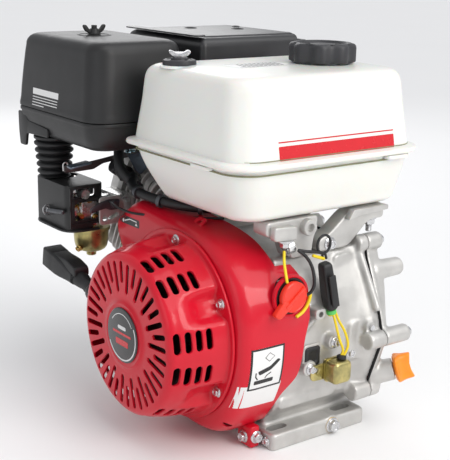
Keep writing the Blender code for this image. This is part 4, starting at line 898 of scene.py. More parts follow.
# ---- carburettor and its shroud
def carburetor_shroud():
    x0, x1, y0, y1, z0, z1 = -163, -110, 186, 276, 205, 262
    outline = softened([(x0, y0), (x1, y0), (x1, y1), (x0, y1)], 12, 8)
    inner = [(x + (2.6 if x < -136 else -2.6), y + (2.6 if y < 230 else -2.6)) for x, y in outline]
    box = cut(plates([outline], z0, z1), plates([inner], z0 + 3, z1 - 3),
        block((-122, 196, z0 + 3), (-100, 266, z1 - 3)))
    side = frame_y(0, y0, 0)
    windows = [sheet([(-155, 247), (-124, 247), (-124, 257.5), (-155, 257.5)], 4, -8, 8, side),
        sheet([(-153, 217), (-119, 217), (-119, 240), (-153, 240)], 5, -8, 8, side)]
    bevelled(box, 1.6, 3)
    cut(box, *windows, rod(18, z1 - 8, z1 + 5, frame_z(DUCT_X, DUCT_Y, 0), 40),
        rod(24, z0 - 5, z0 + 8, BOWL_AXIS, 40))
    lip = softened([(x0 - 4, y0 - 5), (x1 + 5, y0 - 5), (x1 + 5, y1 + 3), (x0 - 4, y1 + 3)], 26, 10)
    bottom = bevelled(cut(plates([lip], 202.6, 205.4), rod(25, 195, 210, BOWL_AXIS, 40)), 0.8)
    frame_lines = [sheet([(-158, z), (-115, z), (-115, z + 2.4), (-158, z + 2.4)], 1, -0.6, 1.4, side)
        for z in (211, 243)]
    upright = sheet([(-160, 208), (-157.6, 208), (-157.6, 260), (-160, 260)], 1, -0.6, 1.4, side)
    piece([box, bottom, upright] + frame_lines, "carburetor_cover", "black_plastic",
        replaces=("carburetor_shroud",))
    horn = [block((-150, 197, 246), (-119, 236, 258)), rod(6, 0, 16, frame_y(-140, 197, 251), 28)]
    bevelled(horn[0], 2.4, 3)
    piece(horn, "air_horn_block", "machined")
    piece(hex_bolts([(-146, 197, 231), (-128, 197, 224)], (0, -1, 0), 7, 4, 5), "air_horn_screws", "brass")
    piece(tube([(-168, 228, 224.5), (-168, 190, 230)], 3, 20), "carburetor_cover_rod", "dark_steel")
    nut = hex_bolt((-166.4, 232.4, 223.9), (0, 1, -0.12), 10, 7, 7.5)
    piece(nut + [rod(3, 0, 12, aimed((-166.4, 231, 224), (0, 1, -0.12)), 20)], "carburetor_cover_bolt",
        "steel")


def carburetor():
    jets = ((-130, 241), (-122, 218))
    axis = CARB_AXIS
    throat = turned([(12, -152), (14.6, -152), (16, -150.6), (16, -146), (14.2, -144), (14.2, -98),
        (15.5, -96), (15.5, -80), (12, -80)], axis, 48)
    body = cut(plates([rounded_box(-16, -15, 16, 17, 5)], -140, -100, axis), rod(11.8, -160, -70, axis, 40))
    flange = cut(plates([rounded_box(-30, -18, 30, 18, 9)], -92, -76.4, axis),
        rod(11.8, -100, -70, axis, 40))
    column = rod(15, 203, 219, BOWL_AXIS, 40)
    bosses = [rod(5, 0, 3, aimed((x, CARB_Y - 14.6, z), (0, -1, 0)), 24) for x, z in jets]
    piece(bevelled(joined([throat, body, flange, column] + bosses), 1, 3), "carburetor_body", "machined",
        replaces=("carburetor",))
    screws = hex_bolts([(x, CARB_Y - 17.6, z) for x, z in jets], (0, -1, 0), 6, 3.4, 4)
    screws += [rod(3.2, 0, 6, aimed((-141, CARB_Y - 13, 221), (0, -1, 0)), 20),
        rod(2.4, 0, 9, aimed((-144, CARB_Y - 12, 241), (0, -1, 0)), 20)]
    piece(screws, "carburetor_jets", "brass")
    where = BOWL_AXIS
    piece(turned([(0.3, 163), (5.6, 163), (6.4, 163.8), (6.6, 168.4), (8, 169.2), (15, 170.6),
        (18.6, 172.8), (20.6, 176), (22, 182), (22.6, 190), (22.8, 197.4), (24.6, 198), (24.8, 201.4),
        (24.2, 202.3), (0.3, 202.3)], where, 64, "caps"), "fuel_bowl", "yellow_zinc",
        replaces=("float_bowl",), angle=40)
    nut = hex_bolt((CARB_X, CARB_Y, 169), (0, 0, -1), 11, 5.4, 8)
    drain = hex_bolt((CARB_X - 20.6, CARB_Y - 6, 176.4), (-0.9, -0.2, -0.45), 7, 4.4, 4.6)
    piece(nut + drain, "fuel_bowl_nut", "brass")


def choke_lever():
    """The choke's flat lever: a wire loop at its grip end, and its bracket by the hose."""
    piece(bevelled(sheet([(-167, 281.4), (-150, 280.6), (-126, 281.4), (-112, 287.6), (-76, 291.6),
        (-72, 293), (-72, 298.6), (-78, 298.8), (-112, 294), (-128, 292), (-150, 290.6), (-167, 289.6)],
        2.4, -187, -184.6, frame_y(), 4), 0.6), "choke_bar", "lever_plastic", "choke", ("choke_rod",))
    loop = [(-160.6, 187.6, 281), (-160.6, 188.2, 288)]
    loop += [(-163.9 + 3.3 * cos(radians(q)), 188.4, 289.6 + 3.6 * sin(radians(q)))
        for q in range(0, 181, 20)]
    loop += [(-167.2, 188.2, 288), (-167.2, 187.6, 283)]
    piece(tube(loop, 0.9, 14), "choke_loop", "machined", "choke")
    piece(bevelled(sheet([(-166.2, 281.8), (-161.6, 281.8), (-161.6, 286.4), (-166.2, 286.4)], 1.2, -188.2,
        -187.1, frame_y(), 4), 0.3), "choke_mark", "knob", "choke")
    plate_shape = [(-94, 301), (-64, 305), (-62, 298), (-66, 281), (-74, 274), (-82, 280), (-88, 292)]
    bracket = bevelled(sheet(plate_shape, 3, -158, -155.6, frame_y()), 0.7)
    fold = bevelled(sheet([(-94, 156), (-64, 156), (-64, 172), (-92, 172)], 3, 300.6, 303,
        frame_z() @ Matrix.Rotation(radians(-7.6), 4, "Y") @ frame_z(-39.4, 0, 10.5), 4), 0.7)
    piece([bracket, fold], "choke_bracket", "blue_steel")
    piece(hex_bolt((-84, 166, 303.4), (-0.1, 0, 1), 9, 4.5, 6.6), "choke_bracket_bolt", "pale_blue")


def linkage():
    """The control panel, the speed lever on it and the governor's arm."""
    piece(bevelled(cut(sheet([(-132, 214), (-101, 214), (-101, 250), (-132, 250)], 5, -163, -160.5,
        frame_y()), rod(3.2, -200, -120, frame_y(-124, 0, 222)), plates([slot(-112, 224, 15, 5, 20)], -170,
        -150, frame_y())), 0.6), "control_panel", "cast", replaces=("control_plate",))
    where = frame_y(-112, 160.2, 240)
    lever = bevelled(sheet([(-7, -7), (6, -7), (8, 6), (-9, 7), (-24, 3), (-34, -2), (-34, -8), (-24, -6),
        (-12, -4)], 3.2, 0, 2.6, where), 0.7)
    pivot = turned([(0.2, 2.6), (6, 2.6), (6, 3.8), (4.6, 4.6), (4.6, 6), (0.2, 6.2)], where, 36, "caps")
    piece([lever, pivot], "speed_lever", "dark_steel", "throttle_lever", ("control_lever",))
    base = frame_x(-97, 158, 150)
    arm = bevelled(cut(sheet([(-8, -8), (8, -8), (10, 0), (11, 58), (17, 63), (15, 72), (-1, 69), (-8, 8)],
        4.5, 0, 2.6, base, 6), rod(1.5, -5, 8, base @ frame_z(9, 66, 0)),
        rod(1.5, -5, 8, base @ frame_z(0, 40, 0))), 0.6)
    piece([arm, turned([(0.2, -3), (5.4, -3), (5.4, 6), (4.6, 6.6), (0.2, 6.8)], base, 32, "caps")],
        "governor_lever_arm", "steel", "governor_lever", ("governor_arm",))


# ---- castings
def bore_frame(x=0, w=0, u=0):
    """Local z along the cylinder away from the crank, local y down across it."""
    return frame_z(0, 0, CRANK_Z) @ Matrix.Rotation(radians(-65), 4, "X") @ frame_z(x, w, u)


PLUG_DIRECTION = Vector((-0.82, -0.05, 0.57))
PLUG_SEAT = Vector((-62, 174, 257))
PLUG_FRAME = aimed(PLUG_SEAT, PLUG_DIRECTION)
# the block's joint with the head: x0, across0, x1, across1
BLOCK_OUTLINE = (-72, -70, 72, 82)
COVER_X = 75.3
DIPSTICK_FRAME = aimed((78, -106, 57), (34, -28, 13))
DIPSTICK_TOP = Vector((34, -28, 13)).length
# bolts round the side cover: Y, Z, the boss's radius and where it starts on the case
COVER_BOLTS = ((-114, 45, 11.5, 50), (112, 60, 10, 60), (128, 106, 10, 60), (60, 222, 10, 60),
    (0, 226, 10, 60))
EAR_SPOTS = ((-137, 116), (-97, 223))
CAM_W = 62


def case_outline(front):
    """The crankcase's section in (Y, Z - crank height); front is how far the wall bulges to -Y."""
    rear = [(-82, 16), (86, 16), (88, 24), (114, 45), (127, 75), (130, 97), (119, 128), (70, 214),
        (30, 222), (-60, 222)]
    bulge = [(-94 - front * 0.25, 222), (-98 - front * 0.25, 205), (-112 - front * 0.2, 175),
        (-113 - front * 0.8, 142), (-113 - front, 126), (-113 - front, 107), (-109 - front * 0.8, 83),
        (-104 - front * 0.4, 46), (-84, 24)]
    return evenly([(y, z - CRANK_Z) for y, z in rear + bulge], 90)


def case_inside(front):
    rear = [(-74, 27), (78, 27), (80, 30), (106, 48), (119, 77), (122, 97), (112, 124), (65, 206),
        (28, 214), (-60, 214)]
    bulge = [(-86 - front * 0.25, 214), (-90 - front * 0.25, 203), (-104 - front * 0.2, 172),
        (-105 - front * 0.8, 140), (-105 - front, 125), (-105 - front, 108), (-101 - front * 0.8, 85),
        (-97 - front * 0.4, 49), (-76, 31)]
    return [(y, z - CRANK_Z) for y, z in rear + bulge]


def front_boss(x, y, z, r, out):
    """A round boss on the crankcase's -Y wall, slightly drafted."""
    return rod(r + 0.8, -out, 14, frame_y(x, y, z) @ Matrix.Rotation(pi, 4, "X"), 28, r)


def crankcase():
    case = loft([(case_outline(0), -58), (case_outline(6), 30), (case_outline(12), 50),
        (case_outline(18), 58), (case_outline(21), 64), (case_outline(21), 75)], frame_x())
    rail = [(-67.3, -115.4), (75, -115.4), (75, 115.4), (-67.3, 115.4)]
    base = loft([(softened(rail, 6), 0), (softened(rail, 6), 17), (softened(
        [(x * 0.98, y * 0.985) for x, y in rail], 8), 20)])
    ledge = boxes([(-60, -92, 75, -60, 6, 15), (-60, -89, 75, -60, 6, 24), (-60, -92, 75, -60, 6, 36),
        (-60, -98, 75, -60, 6, 44)])
    barrel = boxes([(-55, -56, 55, 71, 14, 72), (-55, -56, 55, 71, 14, 174), (*BLOCK_OUTLINE, 16, 175),
        (*BLOCK_OUTLINE, 16, 182.7)], bore_frame())
    extras = [rod(10.5, x, 75, frame_x(0, y, z)) for x, (y, z) in zip((50, 61), EAR_SPOTS)]
    extras += [rod(r, low, 75, frame_x(0, y, z)) for y, z, r, low in COVER_BOLTS]
    extras += [rod(7.5, 0, 15, aimed((x, -118, z), (0, -1, 0)), 28) for x, z in ((60, 131), (60, 117))]
    extras += [front_boss(9, -121, 122, 8.5, 7), front_boss(-22.8, -116, 94.5, 9, 8),
        front_boss(22.8, -109, 10.1, 11.5, 5.5), front_boss(40, -109, 100, 7, 12)]
    extras += [boxes([(26, 190, 54, 216, 5, 90), (27, 191, 53, 215, 5, 101.4)], frame_y()),
        boxes([(20, 78, 68, 152, 9, 100), (36, 92, 62, 138, 9, 124)], frame_y()),
        boxes([(-23, 151, -5, 168, 5, 96), (-21, 153, -7, 166, 4, 128)], frame_y()),
        boxes([(-32, 91, -2, 123, 6, 96), (-32, 91, -2, 123, 6, 116)], frame_y()),
        boxes([(-58, 40, 36, 62, 9, 96), (-54, 46, 30, 58, 6, 109)], frame_y())]
    ribs = [((66, -100, 214), (70, -132, 150), 5), ((-16, -117, 150), (-34, -110, 128), 3.4)]
    extras += [tube([a, (Vector(a) + Vector(b)) / 2, b], r, 10) for a, b, r in ribs]
    shell = cast(joined([case, base, ledge, barrel] + extras))
    hollow = loft([(case_inside(0), -49), (case_inside(12), 50), (case_inside(21), 62),
        (case_inside(21), 80)], frame_x())
    cylinder = rod(45, 45, 190, bore_frame(), 64)
    tunnels = [rod(7, 60, 190, bore_frame(x, CAM_W, 0), 20) for x in (-20, 20)]
    bolts = plates([slot(x, y, 28, 11) for x in (-49, 49) for y in (-98.5, 98.5)], -5, 25)
    face = block((74.9, -200, -20), (90, 200, 320))
    deck = block((-200, -200, 182.7), (200, 200, 260), bore_frame())
    floor = block((-200, -200, -20), (200, 200, 0))
    cut(shell, hollow)
    seat = turned([(36.8, -54.4), (46, -54.4), (46, -36), (36.8, -36)], frame_x(), 64)
    holes = [rod(3.4, 118, 132, frame_y(-14, 0, 159.5), 32), rod(37, -55, -34, frame_x(), 64),
        rod(20, -60, -34, frame_x(), 48)]
    cut(shell, cylinder, *tunnels, *holes, bolts, face, deck, floor)
    piece([shell, seat], "case_casting", "cast", replaces=("crankcase",), angle=40)
    piece([fin_plate(u, (-54, -55, 54, 70)) for u in range(114, 165, 10)], "cylinder_fins", "cast")


def fin_plate(u, inside):
    """A cooling fin with rounded edges round a finned block's core."""
    thick = 3
    rings = [(1.4, u), (0.4, u + 0.35), (0, u + thick / 2), (0.4, u + thick - 0.35), (1.4, u + thick)]
    x0, y0, x1, y1 = BLOCK_OUTLINE
    out = [[(x, y, h) for x, y in rounded_box(x0 + i, y0 + i, x1 - i, y1 - i, 16 - i, 8)] for i, h in rings]
    core = rounded_box(*inside, 14, 8)
    out += [[(x, y, h) for x, y in core] for h in (u + thick, u)]
    return skin(out, bore_frame(), ends="joined")


def side_cover():
    shell = loft([(case_outline(21), COVER_X), (case_outline(21), 84), (case_outline(17), 89),
        (case_outline(6), 98), (evenly(case_inside(0), 90), 105)], frame_x())
    flange = loft([([(y * 1.02, z * 1.02) for y, z in case_outline(21)], COVER_X),
        ([(y * 1.02, z * 1.02) for y, z in case_outline(21)], 81.5)], frame_x())
    hub = turned([(0.2, 96), (60, 96), (57, 104), (54.6, 107), (54, 112), (0.2, 112)], frame_x(), 72,
        "caps")
    extras = [rod(10.5, COVER_X, x, frame_x(0, y, z)) for x, (y, z) in zip((113, 98), EAR_SPOTS)]
    extras += [rod(13, 92, 112, frame_x(0, 58.4 * a, CRANK_Z + 58.4 * b)) for a in (-1, 1) for b in (-1, 1)]
    extras += [rod(12.5, 86, 132, frame_x(0, -100, 186), 40, 11)]
    extras += [rod(r, COVER_X, 90, frame_x(0, y, z)) for y, z, r, _ in COVER_BOLTS]
    extras += [rod(14.2, -4, DIPSTICK_TOP - 8, DIPSTICK_FRAME, 40, 13.4)]
    for a in range(18, 360, 45):
        near = Vector((99, 58 * cos(radians(a)), CRANK_Z + 58 * sin(radians(a))))
        far = Vector((93, 84 * cos(radians(a)), CRANK_Z + 76 * sin(radians(a))))
        extras.append(tube([near, (near + far) / 2, far], 4, 10))
    extras += [boxes([(-94, 28, -60, 52, 6, 92), (-92, 30, -62, 50, 6, 99)], frame_x(0, 0, 0))]
    shell = cast(joined([shell, flange, hub] + extras))
    hollow = loft([(case_inside(21), 70), (case_inside(21), 87), (case_inside(6), 99)], frame_x())
    well = rod(9, -40, DIPSTICK_TOP, DIPSTICK_FRAME, 40)
    face = block((40, -220, -20), (COVER_X, 220, 320))
    front = block((112, -80, 60), (140, 80, 210))
    pads = [rod(4.2, 96, 116, frame_x(0, 58.4 * a, CRANK_Z + 58.4 * b)) for a in (-1, 1) for b in (-1, 1)]
    cut(shell, hollow, well, face, front, rod(37, 70, 98, frame_x(), 64), rod(18, 90, 115, frame_x(), 48),
        rod(4.5, 110, 140, frame_x(0, -100, 186)), *pads)
    piece(shell, "pto_cover", "cast", replaces=("side_cover",), angle=40)
    ring = [(y * 1.022, z * 1.022) for y, z in case_outline(21)]
    inside = [(y * 0.93, z * 0.93) for y, z in case_outline(21)]
    piece(skin([[(y, z, x) for y, z in loop] for loop, x in ((ring, 74.92), (ring, 75.28), (inside, 75.28),
        (inside, 74.92))], frame_x(), ends="joined"), "cover_gasket", "rubber")
    piece(turned([(19, 111.9), (53, 111.9), (53, 112.3), (52, 112.5), (20, 112.5), (19, 112.3)], frame_x(),
        96), "pto_machined_face", "machined")
    piece(turned([(13.2, 106), (17.9, 106), (17.9, 111.6), (16, 112.2), (15, 111.4), (13.2, 111.8)],
        frame_x(), 64), "shaft_seal", "rubber")
    places = [(x, y, z) for x, (y, z) in zip((113, 98), EAR_SPOTS)] + [(90, y, z)
        for y, z, _, _ in COVER_BOLTS]
    bolts = hex_bolts(places, (1, 0, 0), 10, 6.4, 8)
    piece(bolts, "cover_bolts", "steel")


def case_fasteners():
    """Bolts, the drain plug and the wire grommet on the crankcase's -Y side."""
    bolts = hex_bolt((9, -128.2, 122), (0, -1, 0), 8, 5, 6.6)
    bolts += hex_bolt((-22.8, -124.2, 94.5), (0, -1, 0), 8, 5, 6.6) + hex_bolt((40, -121.4, 100),
        (0, -1, 0), 8, 5, 6)
    bolts += [rod(3.4, 0, 3, aimed((x, -133.2, z), (0, -1, 0)), 24) for x, z in ((60, 131), (60, 117))]
    bolts += hex_bolt((-67.3, -104, 9), (-1, 0, 0), 8, 4, 5.6)
    piece(bolts, "case_bolts", "steel")
    drain = hex_bolt((22.8, -115, 10.1), (0, -1, 0), 13, 7, 9.6)
    washer = turned([(6, 0), (9.8, 0), (9.8, 1.2), (6, 1.2)], aimed((22.8, -114.6, 10.1), (0, -1, 0)), 40)
    piece(drain, "drain_plug", "steel")
    piece(washer, "drain_washer", "brass")
    place = frame_y(-17, -117.5, 107)
    piece(loft([(rounded_box(-11 + i, -12 + i, 11 - i, 12 - i, 4, 6), h)
        for i, h in ((0, 0), (0, 2.4), (1.2, 3.6), (2.2, 3.8), (4, 3.8), (5, 2.6), (7, 2.4))], place),
        "wire_grommet", "rubber")
    piece(cut(boxes([(-13.6, -14.6, 13.6, 14.6, 5.6, -2), (-13.6, -14.6, 13.6, 14.6, 5.6, 1),
        (-12.8, -13.8, 12.8, 13.8, 5, 1.8)], place), plates([rounded_box(-11.2, -12.2, 11.2, 12.2, 4.2, 6)],
        -5, 5, place)), "grommet_bezel", "cast")


def tank_brackets():
    arm = [(4, 222.3), (44, 222.3), (54, 226), (76, 246), (84, 250), (104, 250), (104, 267.7), (60, 267.7),
        (46, 262), (20, 242), (4, 236)]
    body = bevelled(sheet(arm, 5, 78, 99, frame_y(), 4), 2.2, 3)
    web = bevelled(sheet([(48, 267.7), (102, 267.7), (102, 262), (60, 260), (40, 256)], 2, 99, 108,
        frame_y(), 4), 1.6)
    piece([body, web], "tank_arm_pto_side", "cast", replaces=("tank_bracket_pto_side",))
    hanger = [(-40, 222.3), (-10, 222.3), (-8, 240), (-4, 250), (-2, 267.7), (-76, 267.7), (-76, 252),
        (-48, 246)]
    plate_body = bevelled(sheet(hanger, 5, 78, 103, frame_y(), 4), 2.2, 3)
    boss = turned([(0.2, 98), (9.4, 98), (9.4, 110.6), (8.6, 111.6), (5, 111.8), (4.4, 110.4), (4.4, 106),
        (0.2, 106)], frame_y(-20, 0, 257), 40, "caps")
    lug = bevelled(sheet([(-72, 248), (-40, 246), (-40, 262), (-72, 264)], 4, 103, 113, frame_y(), 4), 2, 3)
    piece([plate_body, boss, lug], "tank_arm_starter_side", "cast", replaces=("tank_bracket_starter_side",))
    nuts = hex_bolt((90, -89, 249.8), (0, 0, -1), 12, 8, 8.8, 9.6) + [stud((90, -89, 242), (0, 0, -1), 3.8,
        9)]
    nuts += hex_bolt((-54, -108, 246), (0, 0, -1), 10, 7, 8, 9.6) + hex_bolt((-42, -100, 238), (0, -1, 0),
        9, 5, 7)
    nuts += hex_bolt((20, -99, 230), (0, -1, 0), 10, 6.4, 8)
    piece(nuts, "bracket_bolts", "steel")
    piece(turned([(8.4, -4), (9.6, -4), (9.6, 4), (8.4, 4)], aimed((-46, -104, 238), (0.9, -0.1, 0.3)), 40),
        "wire_clamp", "machined")


def cylinder_head():
    core = boxes([(*BLOCK_OUTLINE, 16, 183.2), (*BLOCK_OUTLINE, 16, 192), (-57, -59, 57, 75, 14, 192.6),
        (-57, -59, 57, 75, 14, 236.4), (*BLOCK_OUTLINE, 16, 237), (*BLOCK_OUTLINE, 16, 246)], bore_frame(),
        8)
    ports = [rod(17, 50, 76, CARB_AXIS, 40), rod(17, -76, -50, CARB_AXIS, 40)]
    ports += [plates([rounded_box(-30, -18, 30, 18, 9)], x, x + 5, CARB_AXIS) for x in (-76, 71)]
    head = cut(union(core, *ports), rod(44, 180, 192, bore_frame(), 64),
        *[rod(7, 180, 250, bore_frame(x, CAM_W, 0), 20) for x in (-20, 20)],
        *[rod(3.6, 180, 250, bore_frame(x, -6, 0), 20) for x in (-20, 20)],
        *[rod(13, s, e, CARB_AXIS, 40) for s, e in ((-78, -20), (20, 78))],
        rod(7.6, -30, 60, PLUG_FRAME, 32), rod(14, 9, 60, PLUG_FRAME, 32))
    pedestals = [block((x - 4.5, 21, 241), (x + 4.5, 35, 271), bore_frame()) for x in (-34, 0, 34)]
    pivot = rod(4, -37, 37, bore_frame(0, 28, 264) @ Matrix.Rotation(radians(90), 4, "Y"), 24)
    fins = [fin_plate(u, (-56, -58, 56, 74)) for u in (198, 207, 216, 225)]
    cut(fins[0], rod(14, 0, 60, PLUG_FRAME, 24))
    for fin in fins[1:]:
        cut(fin, rod(15, -10, 60, PLUG_FRAME, 24))
    for fin in fins:
        cut(fin, rod(12.8, -90, 90, CARB_AXIS, 24))
    piece([head, pivot] + pedestals + fins, "head_casting", "cast", replaces=("cylinder_head",))


def rocker_cover():
    keys = [(-64, -58, 64, 80, 16, 246.3), (-64, -58, 64, 80, 16, 250.4), (-63, -57, 63, 79, 15, 251.4),
        (-59.4, -53.4, 59.4, 75.4, 17, 252), (-58, -52, 58, 74, 18, 254), (-56, -50, 56, 72, 18, 276),
        (-53, -47, 53, 69, 18, 287), (-48, -42, 48, 64, 17, 294), (-41, -35, 41, 57, 15, 297.4),
        (-34, -28, 34, 50, 12, 298)]
    cover = cut(loft([(rounded_box(*key[:4], key[4], 8), key[5]) for key in keys], bore_frame()),
        boxes([(-54, -48, 54, 70, 16, 240), (-52, -46, 52, 68, 16, 280), (-42, -38, 42, 60, 14, 294)],
        bore_frame()))
    ribs = [loft([(rounded_box(x - 3, -24, x + 3, 46, 2.6), 296.6), (rounded_box(x - 2, -23, x + 2, 45, 2),
        299)], bore_frame()) for x in (-22, 0, 22)]
    piece([cover] + ribs, "valve_cover", "cast", replaces=("rocker_cover",))
    places = [bore_point(x, w, 250.6) for x, w in ((-58, -52), (58, -52), (-58, 74), (58, 74))]
    bolts = hex_bolts(places, (0, cos(radians(25)), sin(radians(25))), 8, 5, 6)
    piece(bolts, "valve_cover_bolts", "steel")


# ---- exhaust
def shield_section(inset, r, front=0):
    return rounded_box(-14 + inset, 111 + inset + front, 158 - inset, 288 - inset, r, 8)


def muffler_shield():
    """A folded sheet guard: a rounded front edge, flat top with embossed holes, slotted sides."""
    keys = [(0.5, 7, 330), (0, 8, 331.6), (0, 8, 434)]
    keys += [(10 - 10 * cos(radians(q)), 8 - 3 * sin(radians(q)), 434 + 11.6 * sin(radians(q)))
        for q in (12, 24, 36, 48, 60, 72, 84)]
    keys += [(12, 4.6, 446), (13.4, 4.4, 447.2), (15, 4, 447.6), (40, 3, 448.4)]
    inner = [(2.2, 6, 320), (2.2, 6, 434), (8, 4, 443), (16, 3, 445), (40, 3, 446)]
    guard = cut(loft([(shield_section(i, r), h) for i, r, h in keys]), loft(
        [(shield_section(i, r), h) for i, r, h in inner]))
    holes = [slot(x, z, 28, 7, 0) for x in (18, 72, 126) for z in (352, 366, 380, 394)]
    side_holes = [slot(y, z, 28, 7, 0) for y in (150, 200, 250) for z in (366, 380, 394)]
    cut(guard, plates(holes, -320, -270, frame_y()), plates(side_holes, 140, 180, frame_x(0, 0, 0)),
        block((140, 100, 439), (170, 133, 470)), rod(17, 120, 180, frame_x(0, 226, 350), 40),
        plates([circle(x, y, 4.6, 24) for x, y in ((52, 232), (104, 196), (128, 232))], 440, 455))
    piece(guard, "exhaust_guard", "black_paint", replaces=("muffler_shield",), angle=30)
    lip = [(-19, 118), (-14, 116), (-2, 120), (-2, 284), (-19, 284)]
    strip = bevelled(sheet(lip, 3, 447.4, 449.4, steps=4), 0.7)
    crescents = []
    for x, y, r in ((52, 232, 9), (104, 196, 9), (128, 232, 6)):
        crescents.append(turned([(r - 3.6, 447.6), (r - 3, 449), (r - 1.8, 449.6), (r - 0.6, 449),
            (r, 447.6)], frame_z(x, y, 0), 40))
    piece([strip] + crescents, "exhaust_guard_beads", "black_paint")


def muffler():
    keys = [(14, 8, 326), (5, 16, 327), (1, 22, 330), (0, 25, 334), (0, 26, 378), (-1.6, 27, 379),
        (-1.6, 27, 382), (0, 26, 383), (0, 26, 426), (1, 22, 430), (5, 16, 433), (14, 8, 434)]
    can = loft([(rounded_box(-6 + i, 126 + i, 136 - i, 250 - i, r, 8), h) for i, r, h in keys])
    pipe = tube(smooth_route([(77, CARB_Y, CARB_Z), (88, CARB_Y, CARB_Z + 2), (98, CARB_Y - 2, CARB_Z + 16),
        (100, CARB_Y - 6, 262), (100, CARB_Y - 8, 334)], 6), 13, 32)
    flange = bevelled(plates([rounded_box(-30, -18, 30, 18, 9)], 76.3, 84, CARB_AXIS), 1)
    tail = turned([(8, 130), (12, 130), (12, 144.6), (11.4, 146), (8.6, 146), (8, 145)],
        frame_x(0, 226, 350), 40)
    piece([can, pipe, flange, tail], "exhaust_can", "iron", replaces=("muffler",))
    nuts = hex_bolts([(84, CARB_Y + y, CARB_Z) for y in (-21, 21)], (1, 0, 0), 10, 7, 6.4)
    piece(nuts, "exhaust_nuts", "steel")


# ---- wiring
def wire(name, route, r, kind, replaces=(), sides=14):
    piece(tube(smooth_route(route, 7), r, sides), name, kind, replaces=replaces)


def clip(place, direction, r):
    """A strap clip round a hose or wire."""
    half, grow = 2.5, 2.6
    return turned([(r, -half), (r + grow - 0.5, -half), (r + grow, -half + 0.5), (r + grow, half - 0.5),
        (r + grow - 0.5, half), (r, half)], aimed(place, direction), 32)


def wiring():
    wire("oil_alert_wire", [(9, -125.6, 158.5), (12, -129, 148), (18, -134, 134), (20, -138, 120),
        (16, -138, 110), (12, -136, 104.5)], 1.5, "yellow", ("alert_lead",))
    wire("oil_alert_return", [(5, -126, 158.5), (5, -131, 148), (9, -135, 128), (13, -137, 116),
        (13, -136.5, 110), (10.5, -136, 104.5)], 1.5, "yellow")
    wire("switch_wire", [(-37.5, -128.5, 187), (-33, -131, 191), (-30, -132, 200), (-30, -128, 216),
        (-34, -122, 228), (-42, -117, 236)], 1.9, "rubber", ("switch_lead",))
    under_knob = [(SWITCH_X + 25 * cos(radians(q)), -129.4, SWITCH_Z + 25 * sin(radians(q)))
        for q in range(-75, 0, 18)]
    wire("switch_wire_end", under_knob + [(-37, -128.6, 187.6)], 2, "yellow")
    wire("earth_wire", [(-58, -112, 236), (-64, -120, 226), (-68, -129, 213), (-68, -131, 207)], 1.6,
        "yellow")
    wire("link_wire", [(-42, -117, 236), (-32, -121, 234), (-20, -122, 232), (-8, -122, 228)], 1.8,
        "rubber")
    wire("link_wire_end", [(-26, -123, 229), (-18, -124, 226), (-10, -123.5, 223)], 1.8, "yellow")
    loop = [(-9 + 9.5 * sin(radians(q)), -121.5, 239 - 10.5 * cos(radians(q))) for q in range(15, 346, 15)]
    wire("cable_loop", [(-5, -122, 222)] + loop + [(-10, -122, 222)], 1.5, "rubber")
    path = aimed((-7, -122, 217), (0.2, -0.03, -1))
    keys = [(5.4, 5, 2.4, 0), (6.8, 6, 3, 1.4), (7.2, 6.4, 3, 4), (8.4, 7, 3, 30), (8.2, 7, 3, 42),
        (7.4, 6.2, 3, 54), (6, 4.6, 2.4, 56.4)]
    boot = loft([(rounded_box(-w, -d, w, d, r, 6), h) for w, d, r, h in keys], path)
    strip = bevelled(block((-13.6, -4.4, 12), (-10.6, 4.4, 50), path), 1)
    bridges = [block((-11, -3.4, h), (-6.6, 3.4, h + 6), path) for h in (16, 29, 42)]
    piece([boot, strip] + bridges, "connector_boot", "rubber", replaces=("wire_connector",))
    piece(turned([(4.4, 57), (5.6, 57.5), (6, 59.5), (5.8, 62), (4.4, 62.6)], path, 32), "connector_tape",
        "green")
    piece(rod(4.4, 55, 64, path, 28), "connector_core", "yellow")


def oil_alert():
    where = frame_y(8, -124.5, 90)
    unit = loft([(rounded_box(-13 + i, -13 + i, 13 - i, 13 - i, 5, 8), h)
        for i, h in ((0, 0), (0, 17.6), (0.5, 19.6), (1.8, 21.2), (3.6, 21.8), (4.6, 21.9))], where)
    lip = boxes([(-14, -14, 14, 14, 5.5, 3), (-14, -14, 14, 14, 5.5, 5)], where, 8)
    tab = bevelled(cut(sheet([(-32, -10), (-10, -11), (-10, 9), (-32, 8)], 6, 0, 2.5, where, 6),
        rod(3, -2, 5, where @ frame_z(-24, 2, 0))), 0.5)
    piece([unit, lip, tab], "oil_alert_can", "yellow_zinc", replaces=("oil_alert_unit",))
    piece(turned([(0.2, 12), (5.4, 12), (5.8, 13.4), (5, 15.6), (3, 16.6), (0.2, 16.6)],
        aimed((11, -136, 92), (0.1, -0.02, 1)), 28, "caps"), "oil_alert_seal", "rubber")


def hoses():
    route = [(-92, 146, 276), (-104, 128, 270), (-110, 104, 266), (-108, 76, 264), (-98, 50, 261),
        (-84, 30, 259.5), (-66, 14, 258.5)]
    piece(tube(smooth_route(route, 8), 5.8, 24), "fuel_line", "rubber", replaces=("fuel_hose",))
    wire("breather_hose", [(-96, 170, 319), (-103, 162, 303), (-107, 152, 287), (-101, 141, 273),
        (-90, 133, 262)], 6.5, "rubber", sides=24)
    piece([clip((-110.2, 104, 266), (0.02, -1, -0.08), 5.7), clip((-104.4, 63, 262.6), (0.4, -1, -0.1),
        5.7), clip((-75, 22, 259), (1, -0.9, -0.05), 5.7)], "fuel_line_clips", "dark_steel")
    wire("throttle_cable", [(-118, 158, 244), (-128, 130, 246), (-126, 96, 244), (-108, 56, 246),
        (-86, 20, 249), (-62, -6, 250)], 1.5, "rubber")


